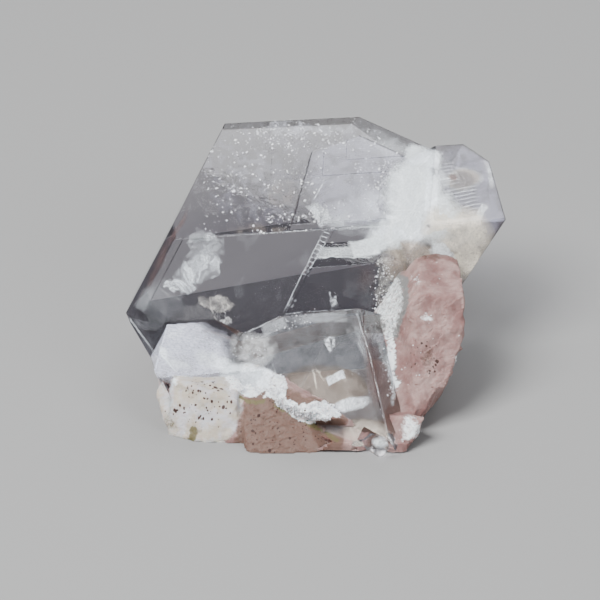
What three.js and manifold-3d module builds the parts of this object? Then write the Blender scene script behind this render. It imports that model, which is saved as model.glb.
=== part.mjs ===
// A fluorite specimen: colourless crystals grown into each other, on a loose piece of massive pink fluorite.
// Millimetres, +Z up. The origin is under the middle of the specimen, on the surface that it rests on.
import * as THREE from 'three';
import { ConvexGeometry } from 'three/addons/geometries/ConvexGeometry.js';
import { mergeVertices } from 'three/addons/utils/BufferGeometryUtils.js';
import Module from 'manifold-3d';

const wasm = await Module();
wasm.setup();

// ---------------------------------------------------------------- driving dimensions

const SEAM = 0.3; // gap between the crystals and the pink mass, mm
const SHARP = 1e-6; // how far a corner may lie outside a face and still count, mm

// The crystal lattice that all the crystals share: which way its front octahedral face looks.
const LATTICE = { azimuth: -69.8, rise: 16.3, roll: -5.7 }; // degrees

// Each crystal is a centre and its faces. A face is [bearing, dip, distance]: the bearing goes round the
// lattice's front face from its right-hand side, the dip is 90 for the front face itself, 0 for a face
// square to it and -90 for its back, and the distance is from the centre, in mm.
const CRYSTALS = {
  main: {
    centre: [-2.8, 3.6, 8.1],
    faces: {
      front: [0, 90, 3.5],
      top: [90, 35, 3.8],
      left: [150, -20, 8.7],
      leftBevel: [150, 8, 10.2],
      lowerLeft: [210, -14, 12.9],
      topBack: [89, -40, 11.7],
      shoulder: [42, -31, 14.8],
      right: [347, 2, 12.5],
      back: [0, -90, 9.0],
      underside: [276, -16, 5.7],
    },
  },
  mainTopLayer: {
    centre: [3.0, 5.6, 8.6],
    faces: {
      front: [0, 90, 3.1],
      top: [90, 35, 3.15],
      left: [152, -12, 5.5],
      leftBack: [112, -35, 7.5],
      shoulder: [42, -31, 8.1],
      right: [347, 2, 6.4],
      back: [0, -90, 6.4],
      underside: [276, -16, 4.0],
    },
  },
  step: {
    centre: [6.0, 0.9, 5.1],
    faces: {
      front: [0, 90, 1.2],
      top: [90, 35, 3.4],
      left: [150, -20, 7.0],
      right: [349, 0, 5.3],
      back: [0, -90, 4.0],
      underside: [276, -16, 2.9],
    },
  },
  corner: {
    centre: [11.2, 7.1, 10.4],
    faces: {
      top: [90, 35, 2.7],
      front: [288, 84, 5.3],
      left: [135, 10, 3.5],
      back: [90, -37, 4.9],
      backRight: [35, -18, 4.4],
      right: [14, 16, 3.7],
      lowerRight: [325, 4, 2.7],
      root: [197, -10, 5.6],
      underside: [276, -16, 5.4],
    },
  },
  frontCrystal: {
    centre: [1.6, -8.1, 3.1],
    faces: {
      cubeFront: [150, 35, 2.4],
      cubeRight: [30, 35, 4.3],
      topBack: [84, -18, 4.9],
      topLeft: [107, -22, 6.1],
      left: [150, -25, 8.2],
      toe: [232, 42, 7.2],
      rightBack: [330, -10, 8.9],
      back: [0, -90, 8.1],
      underside: [276, -16, 2.4],
    },
  },
  ledge: {
    centre: [-8.0, -7.5, 3.2],
    faces: {
      front: [0, 90, 1.3],
      top: [90, 35, 0.8],
      left: [210, -14, 4.0],
      leftEnd: [150, -10, 4.6],
      upperRight: [42, -31, 4.5],
      right: [30, -5, 6.4],
      back: [0, -90, 6.4],
      underside: [276, -16, 1.3],
    },
  },
  bead: {
    centre: [5.0, -15.9, 1.1],
    faces: {
      front: [0, 90, 0.75],
      back: [0, -90, 1.6],
      top: [90, 20, 0.8],
      topLeft: [150, 25, 0.75],
      lowerLeft: [210, 10, 0.8],
      underside: [276, -16, 0.8],
      lowerRight: [330, 15, 0.75],
      topRight: [30, -10, 0.8],
    },
  },
};

// Each lump of the pink mass is a centre and its sides. A side is [azimuth, rise, distance] in the
// specimen's own frame. Detail is the number of cuts along an edge of the starting icosahedron, and
// rough is the height of its bumps, mm.
const LUMPS = {
  rightMass: {
    centre: [8.8, -3.9, 3.5],
    detail: 11,
    rough: 0.3,
    sides: {
      right: [5, -7, 2.3],
      rightLow: [-5, -19, 2.2],
      rightFoot: [-23, -28, 3.4],
      front: [-83, 37, 5.6],
      top: [-21, 84, 6.0],
      left: [-145, 23, 4.6],
      leftUp: [176, 38, 4.3],
      back: [77, -33, 4.8],
      backUp: [84, 25, 6.5],
      toe: [-90, 7, 8.6],
      floor: [0, -90, 4.5],
    },
  },
  leftMass: {
    centre: [-9.2, -10.1, 1.4],
    detail: 9,
    rough: 0.2,
    sides: {
      leftUp: [178, -6, 3.4],
      left: [-171, -16, 3.0],
      front: [-93, 29, 2.3],
      frontLeft: [-120, 25, 2.2],
      right: [-4, 12, 3.5],
      top: [8, 78, 2.3],
      back: [90, -28, 10.4],
      floor: [0, -90, 2.4],
    },
  },
  frontWall: {
    centre: [-2.0, -11.3, 1.1],
    detail: 8,
    rough: 0.16,
    sides: {
      front: [-90, 55, 1.5],
      rim: [-89, 22, 3.3],
      left: [-172, 4, 3.9],
      right: [-5, 3, 7.5],
      top: [90, 80, 1.7],
      back: [90, -28, 11.4],
      floor: [0, -90, 2.0],
    },
  },
  whiteCrust: {
    centre: [0.6, -11.2, 1.3],
    detail: 7,
    rough: 0.22,
    sides: {
      top: [-15, 81, 1.6],
      lowerLeft: [-125, -34, 1.6],
      lower: [-110, -40, 1.3],
      front: [-106, 45, 3.2],
      right: [-15, -6, 4.5],
      left: [-171, 5, 4.0],
      back: [90, -28, 2.4],
      floor: [0, -90, 1.6],
    },
  },
  bed: {
    centre: [-0.8, 1.5, 1.6],
    detail: 10,
    rough: 0.3,
    sides: {
      top: [-90, 87, 1.9],
      topBack: [84, 72, 1.5],
      left: [178, -12, 9.6],
      backLeft: [128, -10, 10.2],
      back: [84, -14, 9.6],
      backRight: [40, -12, 11.6],
      right: [2, -10, 10.4],
      frontRight: [-48, -10, 10.5],
      front: [-92, -8, 8.6],
      frontLeft: [-142, -10, 10.8],
      floor: [0, -90, 2.6],
    },
  },
  foot: {
    centre: [6.9, -13.6, 1.0],
    detail: 6,
    rough: 0.15,
    sides: {
      front: [-88, 30, 1.0],
      right: [-20, -20, 1.1],
      rightBack: [30, 0, 1.6],
      top: [60, 70, 1.5],
      left: [180, 10, 1.6],
      back: [90, 0, 3.0],
      floor: [0, -90, 1.6],
    },
  },
  backKnob: {
    centre: [6.5, 9.5, 2.6],
    detail: 6,
    rough: 0.3,
    sides: {
      top: [80, 70, 2.6],
      back: [84, 5, 4.2],
      backRight: [35, 8, 4.6],
      right: [-5, 12, 4.6],
      backLeft: [140, 12, 4.6],
      left: [180, 10, 4.5],
      front: [-90, 20, 4.5],
      floor: [0, -90, 3.4],
    },
  },
  grain: {
    centre: [11.0, -5.2, 3.9],
    detail: 3,
    rough: 0.05,
    sides: {
      tip: [0, 10, 0.9],
      upper: [30, 60, 0.45],
      lower: [-30, -50, 0.45],
      front: [-90, 20, 0.4],
      back: [90, 10, 0.5],
      root: [180, -10, 1.6],
    },
  },
};

const MIDDLE = [0.12, 0.16]; // the middle of the footprint before it is moved to the origin, mm
const BLOCK_HALF = 40; // half the width of the block that levels the base, mm
const BLOCK_TALL = 40; // its height above the base, mm

const FINISH = {
  clear: { color: '#c9c6cc', roughness: 0.12, metalness: 0.0, flatShading: true },
  pink: { color: '#b58a85', roughness: 0.7, metalness: 0.0, flatShading: true },
};

// ---------------------------------------------------------------- directions

const radians = THREE.MathUtils.degToRad;

/** A unit vector from an azimuth round +Z and a rise above the horizontal, both in degrees. */
function compass(azimuth, rise) {
  const [a, r] = [radians(azimuth), radians(rise)];
  return new THREE.Vector3(Math.cos(a) * Math.cos(r), Math.sin(a) * Math.cos(r), Math.sin(r));
}

const frontNormal = compass(LATTICE.azimuth, LATTICE.rise);
const rightAxis = new THREE.Vector3(0, 0, 1).cross(frontNormal).normalize();
const upAxis = frontNormal.clone().cross(rightAxis);

/** A unit vector from a bearing and a dip in the lattice, as the crystals' faces give them. */
function bearing(angle, dip) {
  const [a, d] = [radians(angle + LATTICE.roll), radians(dip)];
  const flat = rightAxis.clone().multiplyScalar(Math.cos(a)).addScaledVector(upAxis, Math.sin(a));
  return flat.multiplyScalar(Math.cos(d)).addScaledVector(frontNormal, Math.sin(d));
}

// ---------------------------------------------------------------- solids

/** The manifold solid of a geometry whose surface is closed. */
function toSolid(geometry) {
  geometry.deleteAttribute('normal');
  geometry.deleteAttribute('uv');
  const merged = mergeVertices(geometry, 1e-5);
  return new wasm.Manifold(new wasm.Mesh({
    numProp: 3,
    vertProperties: new Float32Array(merged.attributes.position.array),
    triVerts: new Uint32Array(merged.index.array),
  }));
}

/** The geometry of a manifold solid, with flat faces. */
function toGeometry(solid) {
  const mesh = solid.getMesh();
  const geometry = new THREE.BufferGeometry();
  geometry.setAttribute('position', new THREE.BufferAttribute(new Float32Array(mesh.vertProperties), 3));
  geometry.setIndex(new THREE.BufferAttribute(new Uint32Array(mesh.triVerts), 1));
  geometry.computeVertexNormals();
  return geometry;
}

/** The point that three planes share, or null where two of them are parallel. */
function meetingPoint(a, b, c) {
  const cross = b.normal.clone().cross(c.normal);
  const volume = a.normal.dot(cross);
  if (Math.abs(volume) < SHARP) return null;
  return cross.multiplyScalar(a.distance)
    .addScaledVector(c.normal.clone().cross(a.normal), b.distance)
    .addScaledVector(a.normal.clone().cross(b.normal), c.distance)
    .divideScalar(volume);
}

/** A crystal as the space inside all its faces, each moved out by the growth given. */
function crystal({ centre, faces }, growth = 0) {
  const planes = Object.values(faces).map(([angle, dip, distance]) => (
    { normal: bearing(angle, dip), distance: distance + growth }));
  const corners = [];
  for (let i = 0; i < planes.length; i += 1) {
    for (let j = i + 1; j < planes.length; j += 1) {
      for (let k = j + 1; k < planes.length; k += 1) {
        const corner = meetingPoint(planes[i], planes[j], planes[k]);
        const inside = corner && planes.every((p) => p.normal.dot(corner) <= p.distance + SHARP);
        if (inside) corners.push(corner.add(new THREE.Vector3(...centre)));
      }
    }
  }
  return toSolid(new ConvexGeometry(corners));
}

/** The height of the bumps at a point, from -1 to 1: broad swells, blocks, and a finer grain. */
function bumps({ x, y, z }) {
  const swell = Math.sin(0.9 * x + 1.3 * z + 0.4) * Math.sin(0.8 * y - 0.5 * x + 2.1);
  const block = Math.sin(2.3 * x - 1.1 * y + 1.7) * Math.sin(1.9 * y + 1.6 * z + 0.6);
  const grain = Math.sin(4.1 * x + 2.7 * z + 0.9) * Math.sin(3.9 * y - 3.1 * z + 2.6);
  return 0.5 * swell + 0.35 * block + 0.3 * grain;
}

/** A lump: an icosahedron's directions, each drawn out to the nearest side, with bumps on top. */
function lump({ centre, detail, rough, sides }) {
  const planes = Object.values(sides).map(([azimuth, rise, distance]) => (
    { normal: compass(azimuth, rise), distance }));
  const geometry = new THREE.IcosahedronGeometry(1, detail);
  const position = geometry.attributes.position;
  const point = new THREE.Vector3();
  for (let i = 0; i < position.count; i += 1) {
    point.fromBufferAttribute(position, i).normalize();
    const reach = Math.min(...planes.map((p) => {
      const slope = p.normal.dot(point);
      return slope > SHARP ? p.distance / slope : Infinity;
    }));
    const bare = point.clone().multiplyScalar(reach).add(new THREE.Vector3(...centre));
    point.multiplyScalar(reach + rough * bumps(bare)).add(new THREE.Vector3(...centre));
    position.setXYZ(i, point.x, point.y, point.z);
  }
  return toSolid(geometry);
}

/** All the solids of a list joined in one. */
function join(solids) {
  return solids.reduce((whole, next) => whole.add(next));
}

/** A solid cut off level at the height of the surface that the specimen rests on. */
function levelled(solid) {
  const block = new THREE.BoxGeometry(2 * BLOCK_HALF, 2 * BLOCK_HALF, BLOCK_TALL);
  block.translate(0, 0, BLOCK_TALL / 2);
  return solid.intersect(toSolid(block));
}

/** The largest of the separate bodies in a solid. */
function largest(solid) {
  return solid.decompose().reduce((best, next) => (next.volume() > best.volume() ? next : best));
}

// ---------------------------------------------------------------- the specimen

/** The clear crystals: all of them overlap, so they are one body. */
function clearCrystals() {
  return largest(levelled(join(Object.values(CRYSTALS).map((shape) => crystal(shape)))));
}

/** The pink mass: its lumps joined, with the crystals' room and the seam taken out of it. */
function pinkMatrix() {
  const room = join(Object.values(CRYSTALS).map((shape) => crystal(shape, SEAM)));
  return largest(levelled(join(Object.values(LUMPS).map(lump))).subtract(room));
}

/** A named mesh of a solid. */
function piece(name, solid, finish) {
  const mesh = new THREE.Mesh(toGeometry(solid), new THREE.MeshStandardMaterial(finish));
  mesh.name = name;
  return mesh;
}

const specimen = new THREE.Group();
specimen.name = 'fluorite_specimen';
specimen.position.set(-MIDDLE[0], -MIDDLE[1], 0);
specimen.add(piece('clear_crystals', clearCrystals(), FINISH.clear));
specimen.add(piece('pink_matrix', pinkMatrix(), FINISH.pink));

export default specimen;
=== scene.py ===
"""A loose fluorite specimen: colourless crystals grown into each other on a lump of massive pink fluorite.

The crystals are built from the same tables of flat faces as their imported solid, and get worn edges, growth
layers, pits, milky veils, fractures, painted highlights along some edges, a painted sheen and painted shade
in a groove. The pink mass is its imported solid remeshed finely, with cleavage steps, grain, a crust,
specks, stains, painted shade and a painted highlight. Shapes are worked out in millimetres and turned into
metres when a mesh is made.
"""

from __future__ import annotations

import itertools
import logging
import math
from contextlib import contextmanager
from dataclasses import dataclass
from enum import Enum
from typing import Iterator

import bmesh
import bpy
import numpy as np
from mathutils import Matrix, Vector


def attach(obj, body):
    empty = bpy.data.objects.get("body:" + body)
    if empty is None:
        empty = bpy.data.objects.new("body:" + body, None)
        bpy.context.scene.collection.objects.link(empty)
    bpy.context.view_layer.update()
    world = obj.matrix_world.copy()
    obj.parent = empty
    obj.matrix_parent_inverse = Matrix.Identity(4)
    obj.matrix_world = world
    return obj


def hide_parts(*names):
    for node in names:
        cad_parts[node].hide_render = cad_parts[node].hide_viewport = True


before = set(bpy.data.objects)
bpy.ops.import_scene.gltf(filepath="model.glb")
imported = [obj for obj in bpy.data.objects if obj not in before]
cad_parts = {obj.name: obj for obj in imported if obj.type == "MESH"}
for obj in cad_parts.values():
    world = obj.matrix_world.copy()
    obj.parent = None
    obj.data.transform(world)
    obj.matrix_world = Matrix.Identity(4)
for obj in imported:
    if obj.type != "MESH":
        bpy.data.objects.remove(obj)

log = logging.getLogger("fluorite")
Array = np.ndarray
Pair = tuple[float, float]
Triple = tuple[float, float, float]
Socket = bpy.types.NodeSocket
MM = 0.001
FLUORITE_IOR = 1.434
PACKED_SHIFT = np.array([-0.12, -0.16, 0.0])  # from the tables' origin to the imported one, in mm
TINY = 1e-6
NOTHING = 1e-9
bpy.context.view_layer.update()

# ---------------------------------------------------------------- the front view and the lattice


@dataclass(frozen=True)
class Sight:
    """The level line of sight that places are given in: across, up and towards the viewer, in mm.

    A point is origin + across * right + up * upward + near * towards, where towards points at the viewer,
    who looks down at the elevation given.
    """

    elevation: float = 28.0
    origin: Triple = (-0.12, -16.16, 0.0)

    @property
    def right(self) -> Array:
        """The direction that runs to the viewer's right."""
        return np.array([1.0, 0.0, 0.0])

    @property
    def upward(self) -> Array:
        """The direction that runs up the viewer's image."""
        angle = math.radians(self.elevation)
        return np.array([0.0, math.sin(angle), math.cos(angle)])

    @property
    def towards(self) -> Array:
        """The direction from the specimen to the viewer."""
        angle = math.radians(self.elevation)
        return np.array([0.0, -math.cos(angle), math.sin(angle)])

    def point(self, across: Array, up: Array, near: Array) -> Array:
        """The specimen's own coordinates of places in the view.

        Args:
            across: millimetres to the right of the view's zero line.
            up: millimetres up the view.
            near: millimetres towards the viewer.

        Returns:
            An array of points, its last axis being x, y and z in mm.
        """
        across, up, near = np.broadcast_arrays(across, up, near)
        place = across[..., None] * self.right + up[..., None] * self.upward
        return place + near[..., None] * self.towards + np.array(self.origin)

    def split(self, points: Array) -> tuple[Array, Array]:
        """How far across and up the view each point lies, in mm."""
        shifted = points - np.array(self.origin)
        return shifted @ self.right, shifted @ self.upward

    def near(self, points: Array) -> Array:
        """How far towards the viewer each point lies, in mm."""
        return (points - np.array(self.origin)) @ self.towards


SIGHT = Sight()


@dataclass(frozen=True)
class Lattice:
    """The directions that all the crystals share, from the way that the front octahedral face looks."""

    azimuth: float = -69.8
    rise: float = 16.3
    roll: float = -5.7

    @property
    def front(self) -> Array:
        """The outward direction of the front octahedral face."""
        azimuth, rise = math.radians(self.azimuth), math.radians(self.rise)
        level = math.cos(rise)
        return np.array([math.cos(azimuth) * level, math.sin(azimuth) * level, math.sin(rise)])

    def bearing(self, angle: Array, dip: Array) -> Array:
        """Unit directions, each from its angle round the front face and its dip out of that face's plane.

        Args:
            angle: the angle round the front face, in degrees.
            dip: the angle out of that face's plane, in degrees.

        Returns:
            One direction a row.
        """
        turn, lean = np.radians(np.asarray(angle, float) + self.roll), np.radians(np.asarray(dip, float))
        side = np.cross([0.0, 0.0, 1.0], self.front)
        side /= np.linalg.norm(side)
        above = np.cross(self.front, side)
        flat = np.cos(turn)[..., None] * side + np.sin(turn)[..., None] * above
        return flat * np.cos(lean)[..., None] + self.front * np.sin(lean)[..., None]


LATTICE = Lattice()
CUBE_FACE = (90.0, 35.0)  # the bearing and dip of the upper cube face, in degrees


def corner_points(normals: Array, reach: Array) -> Array:
    """The points where three planes meet and no other plane cuts them off.

    Args:
        normals: one outward unit normal a row.
        reach: each plane's distance from the specimen's origin, in mm.

    Returns:
        The corners of the space inside all the planes, one a row.
    """
    triples = np.array(list(itertools.combinations(range(len(reach)), 3)))
    matrices = normals[triples]
    solvable = np.abs(np.linalg.det(matrices)) > TINY
    points = np.linalg.solve(matrices[solvable], reach[triples[solvable]][..., None])[..., 0]
    inside = np.all(points @ normals.T <= reach + TINY, axis=1)
    return np.unique(np.round(points[inside], 6), axis=0)


@dataclass(frozen=True)
class Crystal:
    """A crystal: the space inside all its faces.

    Attributes:
        centre: the point that the faces' distances are counted from, in mm.
        faces: a (bearing, dip, distance) for each face, in degrees and mm.
    """

    centre: Triple
    faces: tuple[Triple, ...]

    @property
    def middle(self) -> Array:
        """Its centre where the packing put it, in mm."""
        return np.array(self.centre) + PACKED_SHIFT

    def planes(self) -> tuple[Array, Array]:
        """The faces' outward normals, and their distances from the specimen's origin in mm.

        Returns:
            The normals, one a row, and the distances.
        """
        table = np.array(self.faces, float)
        normals = LATTICE.bearing(table[:, 0], table[:, 1])
        return normals, table[:, 2] + normals @ self.middle

    def outside(self, points: Array) -> Array:
        """How far each point lies outside the crystal in mm, less than nothing inside it."""
        normals, reach = self.planes()
        return np.max(points @ normals.T - reach, axis=-1)

    def worn_round(self, sharpness: float = 4.0, count: int = 500) -> Array:
        """Points all over the crystal worn round, its faces blended into each other.

        The points lie on an even spiral of directions. In each direction the crystal reaches as far as one
        over the sum of (direction along a face's normal / that face's distance) ** sharpness, the whole sum
        to the power of one over the sharpness.

        Args:
            sharpness: how closely the round shape keeps to the faces.
            count: how many directions there are.

        Returns:
            One point a row, in mm.
        """
        normals, reach = self.planes()
        step = np.arange(count) + 0.5
        polar, around = np.arccos(1.0 - 2.0 * step / count), np.pi * (1.0 + math.sqrt(5.0)) * step
        level = np.sin(polar)
        ways = np.stack([np.cos(around) * level, np.sin(around) * level, np.cos(polar)], axis=-1)
        along = np.maximum(ways @ normals.T, 0.0) / (reach - normals @ self.middle)
        return self.middle + ways / np.sum(along ** sharpness, axis=1, keepdims=True) ** (1.0 / sharpness)


CRYSTALS = {
    "main": Crystal((-2.8, 3.6, 8.1), (
        (0, 90, 3.5), (90, 35, 3.8), (150, -20, 8.7), (150, 8, 10.2), (210, -14, 12.9),
        (89, -40, 11.7), (42, -31, 14.8), (347, 2, 12.5), (0, -90, 9.0), (276, -16, 5.7))),
    "top_layer": Crystal((3.0, 5.6, 8.6), (
        (0, 90, 3.1), (90, 35, 3.15), (152, -12, 5.5), (112, -35, 7.5), (42, -31, 8.1),
        (347, 2, 6.4), (0, -90, 6.4), (276, -16, 4.0))),
    "step": Crystal((6.0, 0.9, 5.1), (
        (0, 90, 1.2), (90, 35, 3.4), (150, -20, 7.0), (349, 0, 5.3), (0, -90, 4.0), (276, -16, 2.9))),
    "corner": Crystal((11.2, 7.1, 10.4), (
        (90, 35, 2.7), (288, 84, 5.3), (135, 10, 3.5), (90, -37, 4.9), (35, -18, 4.4), (14, 16, 3.7),
        (325, 4, 2.7), (197, -10, 5.6), (276, -16, 5.4))),
    "front": Crystal((1.6, -8.1, 3.1), (
        (150, 35, 2.4), (30, 35, 4.3), (84, -18, 4.9), (107, -22, 6.1), (150, -25, 8.2), (232, 42, 7.2),
        (330, -10, 8.9), (0, -90, 8.1), (276, -16, 2.4))),
    "ledge": Crystal((-8.0, -7.5, 3.2), (
        (0, 90, 1.3), (90, 35, 0.8), (210, -14, 4.0), (150, -10, 4.6), (42, -31, 4.5), (30, -5, 6.4),
        (0, -90, 6.4), (276, -16, 1.3))),
    "bead": Crystal((5.0, -15.9, 1.1), (
        (0, 90, 0.75), (0, -90, 1.6), (90, 20, 0.8), (150, 25, 0.75), (210, 10, 0.8), (276, -16, 0.8),
        (330, 15, 0.75), (30, -10, 0.8))),
}


def outside_crystals(points: Array) -> Array:
    """How far each point lies outside the nearest crystal, in mm."""
    return np.min([crystal.outside(points) for crystal in CRYSTALS.values()], axis=0)


@dataclass(frozen=True)
class Seen:
    """What the viewer sees of the crystals at places in the view.

    Attributes:
        near: how near to the viewer the surface is, in mm.
        normal: the outward direction of the face that is seen.
        which: the number of the crystal that is seen, in the order of their table, or -1 for none.
    """

    near: Array
    normal: Array
    which: Array

    def on(self, *names: str) -> Array:
        """Whether one of the crystals named is seen, or any crystal where none is named.

        Args:
            names: the names of the crystals.

        Returns:
            Whether it is so at each place.
        """
        if not names:
            return self.which >= 0
        order = list(CRYSTALS)
        return np.isin(self.which, [order.index(name) for name in names])


def seen_surface(across: Array, up: Array) -> Seen:
    """The crystals' surface as the viewer sees it.

    A sight line enters a crystal at the last of the faces that it meets from outside, and leaves it at the
    first of those that it meets from inside. The crystal that it enters nearest to the viewer is seen.

    Args:
        across: millimetres to the right of the view's zero line.
        up: millimetres up the view.

    Returns:
        What is seen at each place.
    """
    start = SIGHT.point(across, up, np.zeros_like(across))
    best = np.full(across.shape, -np.inf)
    facing = np.zeros(across.shape + (3,))
    which = np.full(across.shape, -1)
    for number, crystal in enumerate(CRYSTALS.values()):
        normals, reach = crystal.planes()
        slope = normals @ SIGHT.towards
        depth = (reach - start @ normals.T) / slope
        fronts = np.where(slope > 0, depth, np.inf)
        enter = np.min(fronts, axis=-1)
        leave = np.max(np.where(slope < 0, depth, -np.inf), axis=-1)
        nearer = (enter > leave) & (enter > best)
        best = np.where(nearer, enter, best)
        facing = np.where(nearer[..., None], normals[np.argmin(fronts, axis=-1)], facing)
        which = np.where(nearer, number, which)
    return Seen(np.where(which >= 0, best, 0.0), facing, which)


# ---------------------------------------------------------------- fields of numbers


def smooth_step(low: float, high: float, value: Array) -> Array:
    """0 below low and 1 above high, with a smooth rise between them: t * t * (3 - 2 * t)."""
    t = np.clip((value - low) / (high - low), 0.0, 1.0)
    return t * t * (3.0 - 2.0 * t)


HASH_WEIGHTS = np.array([127.1, 311.7, 74.7])
HASH_STEP = 17.3
HASH_SIZE = 43758.5453


def hashed(cells: Array, seed: float) -> Array:
    """A fixed scattered number from 0 to 1 for each whole-number cell: the fraction of a large sine."""
    mixed = cells @ HASH_WEIGHTS + HASH_STEP * seed
    return np.modf(np.abs(np.sin(mixed) * HASH_SIZE))[0]


def flat_points(across: Array, up: Array, level: float) -> Array:
    """Places in the view as points for noise, all of them at one level."""
    return np.stack([across, up, np.full_like(across, level)], axis=-1)


def noise(points: Array, size: float, seed: float = 0.0) -> Array:
    """Smooth noise from -1 to 1: scattered numbers on a grid of the size given, blended from its corners.

    Args:
        points: the places, one a row.
        size: the size of its cells, in the points' own unit.
        seed: which noise it is.

    Returns:
        One number for each place.
    """
    scaled = points / size
    cell = np.floor(scaled)
    part = scaled - cell
    part = part * part * (3.0 - 2.0 * part)
    total = np.zeros(points.shape[:-1])
    for corner in itertools.product((0.0, 1.0), repeat=3):
        share = np.prod(np.where(np.array(corner) > 0.5, part, 1.0 - part), axis=-1)
        total += share * hashed(cell + np.array(corner), seed)
    return 2.0 * total - 1.0


def layered(points: Array, size: float, seed: float = 0.0, layers: int = 4) -> Array:
    """Noise added up over layers, each of half the size and half the height of the one before.

    Args:
        points: the places, one a row.
        size: the size of its widest cells, in the points' own unit.
        seed: which noise it is.
        layers: how many layers it has.

    Returns:
        One number for each place, from -1 to 1.
    """
    heights = 0.5 ** np.arange(layers)
    seed_step = 3.1
    total = sum(h * noise(points, size * h, seed + seed_step * k) for k, h in enumerate(heights))
    return total / heights.sum()


def ridged(points: Array, size: float, seed: float = 0.0, layers: int = 4) -> Array:
    """Thin bright ridges from 0 to 1, along the lines where layered noise changes its sign."""
    narrow = 2.4
    return np.clip(1.0 - narrow * np.abs(layered(points, size, seed, layers)), 0.0, 1.0) ** 2


@dataclass(frozen=True)
class Patch:
    """One soft-edged area of the view: an ellipse, or a rectangle where it is square.

    Attributes:
        centre: where it is, across and up the view in mm.
        size: half its length and half its width in mm.
        strength: how strong it is in its middle.
        turn: how far its length is turned from level, in degrees.
        soft: the share of its radius over which it falls off.
        warmth: how stained it is, from -1, lilac, over 0, white, and 0.5, cream, to 1, rust.
        square: whether it has straight sides.
    """

    centre: Pair
    size: Pair
    strength: float = 0.8
    turn: float = 0.0
    soft: float = 0.7
    warmth: float = 0.0
    square: bool = False

    def share(self, across: Array, up: Array) -> Array:
        """Its strength at each place: the whole of it inside, and none from its rim outwards.

        Args:
            across: millimetres to the right of the view's zero line.
            up: millimetres up the view.

        Returns:
            The strength at each place.
        """
        angle = math.radians(self.turn)
        x, y = across - self.centre[0], up - self.centre[1]
        along = np.abs(x * math.cos(angle) + y * math.sin(angle)) / self.size[0]
        over = np.abs(y * math.cos(angle) - x * math.sin(angle)) / self.size[1]
        radius = np.maximum(along, over) if self.square else np.hypot(along, over)
        return self.strength * (1.0 - smooth_step(1.0 - self.soft, 1.0, radius))


def ragged(across: Array, up: Array, reach: float, seed: float) -> tuple[Array, Array]:
    """Places pushed about by noise, so that what is drawn on them gets a ragged outline.

    Args:
        across: millimetres to the right of the view's zero line.
        up: millimetres up the view.
        reach: how far the places move at most, in mm.
        seed: which noise is used.

    Returns:
        The moved places, across and up.
    """
    flat = flat_points(across, up, seed)
    wide, fine, share = 1.7, 0.45, 0.35
    push = [
        layered(flat, wide, seed + k, 5) + share * layered(flat, fine, seed + k + 2.0, 3)
        for k in (0.0, 7.0)]
    return across + reach * push[0], up + reach * push[1]


def blurred(values: Array, there: Array, width: int) -> Array:
    """A grid of numbers averaged twice over a square window, from the places that are there alone.

    The sum over each window is the difference of two running sums, a window apart.

    Args:
        values: the grid.
        there: which of its places count.
        width: how far the window reaches to either side, in grid steps.

    Returns:
        The averaged grid.
    """
    total = [np.where(there, values, 0.0), there.astype(float)]
    window = 2 * width + 1
    for axis in (0, 1, 0, 1):
        margins = [(width + 1, width) if a == axis else (0, 0) for a in (0, 1)]
        for part in (0, 1):
            running = np.cumsum(np.pad(total[part], margins), axis)
            steps = running.shape[axis]
            ends = np.take(running, np.arange(window, steps), axis)
            total[part] = ends - np.take(running, np.arange(steps - window), axis)
    return total[0] / np.maximum(total[1], NOTHING)


def strongest(patches: tuple[Patch, ...], across: Array, up: Array) -> Array:
    """The share of the strongest of some patches at each place."""
    return np.max([patch.share(across, up) for patch in patches], axis=0)


# ---------------------------------------------------------------- meshes


def new_object(name: str, data: bpy.types.ID) -> bpy.types.Object:
    """An object at the origin that holds a mesh, a lamp or a camera, linked to the scene.

    Args:
        name: its name.
        data: what it holds.

    Returns:
        The object.
    """
    thing = bpy.data.objects.new(name, data)
    bpy.context.scene.collection.objects.link(thing)
    return thing


class Slot(Enum):
    """The names of the two fluorite finishes."""

    CLEAR = "clear_fluorite"
    PINK = "pink_fluorite"


def finish_piece(thing: bpy.types.Object, finish: bpy.types.Material, node: str) -> bpy.types.Object:
    """Dresses a piece and rides it on the specimen, with the node that it stands for.

    Args:
        thing: the piece.
        finish: its material.
        node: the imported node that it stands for.

    Returns:
        The same piece.
    """
    thing.data.materials.append(finish)
    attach(thing, "root")
    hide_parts(node)
    log.info("%s: %d faces", thing.name, len(thing.data.polygons))
    return thing


def add_values(mesh: bpy.types.Mesh, name: str, values: Array, domain: str = "POINT") -> None:
    """Stores one number for each vertex or face under a name that a material can read."""
    layer = mesh.attributes.new(name, "FLOAT", domain)
    layer.data.foreach_set("value", np.ascontiguousarray(values, np.float32).ravel())


@contextmanager
def reshaped(mesh: bpy.types.Mesh) -> Iterator[bmesh.types.BMesh]:
    """A mesh opened for editing, and stored again afterwards.

    Args:
        mesh: the mesh.

    Returns:
        The mesh as a shape that can be edited.
    """
    shape = bmesh.new()
    shape.from_mesh(mesh)
    yield shape
    shape.to_mesh(mesh)
    shape.free()


def vectors(items: bpy.types.bpy_prop_collection, name: str) -> Array:
    """A vector that each item of a mesh holds, one a row.

    Args:
        items: the vertices, the faces or the vertices' normals.
        name: what each of them calls its vector.

    Returns:
        The vectors.
    """
    table = np.empty(len(items) * 3, np.float32)
    items.foreach_get(name, table)
    return table.reshape(-1, 3).astype(float)


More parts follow.
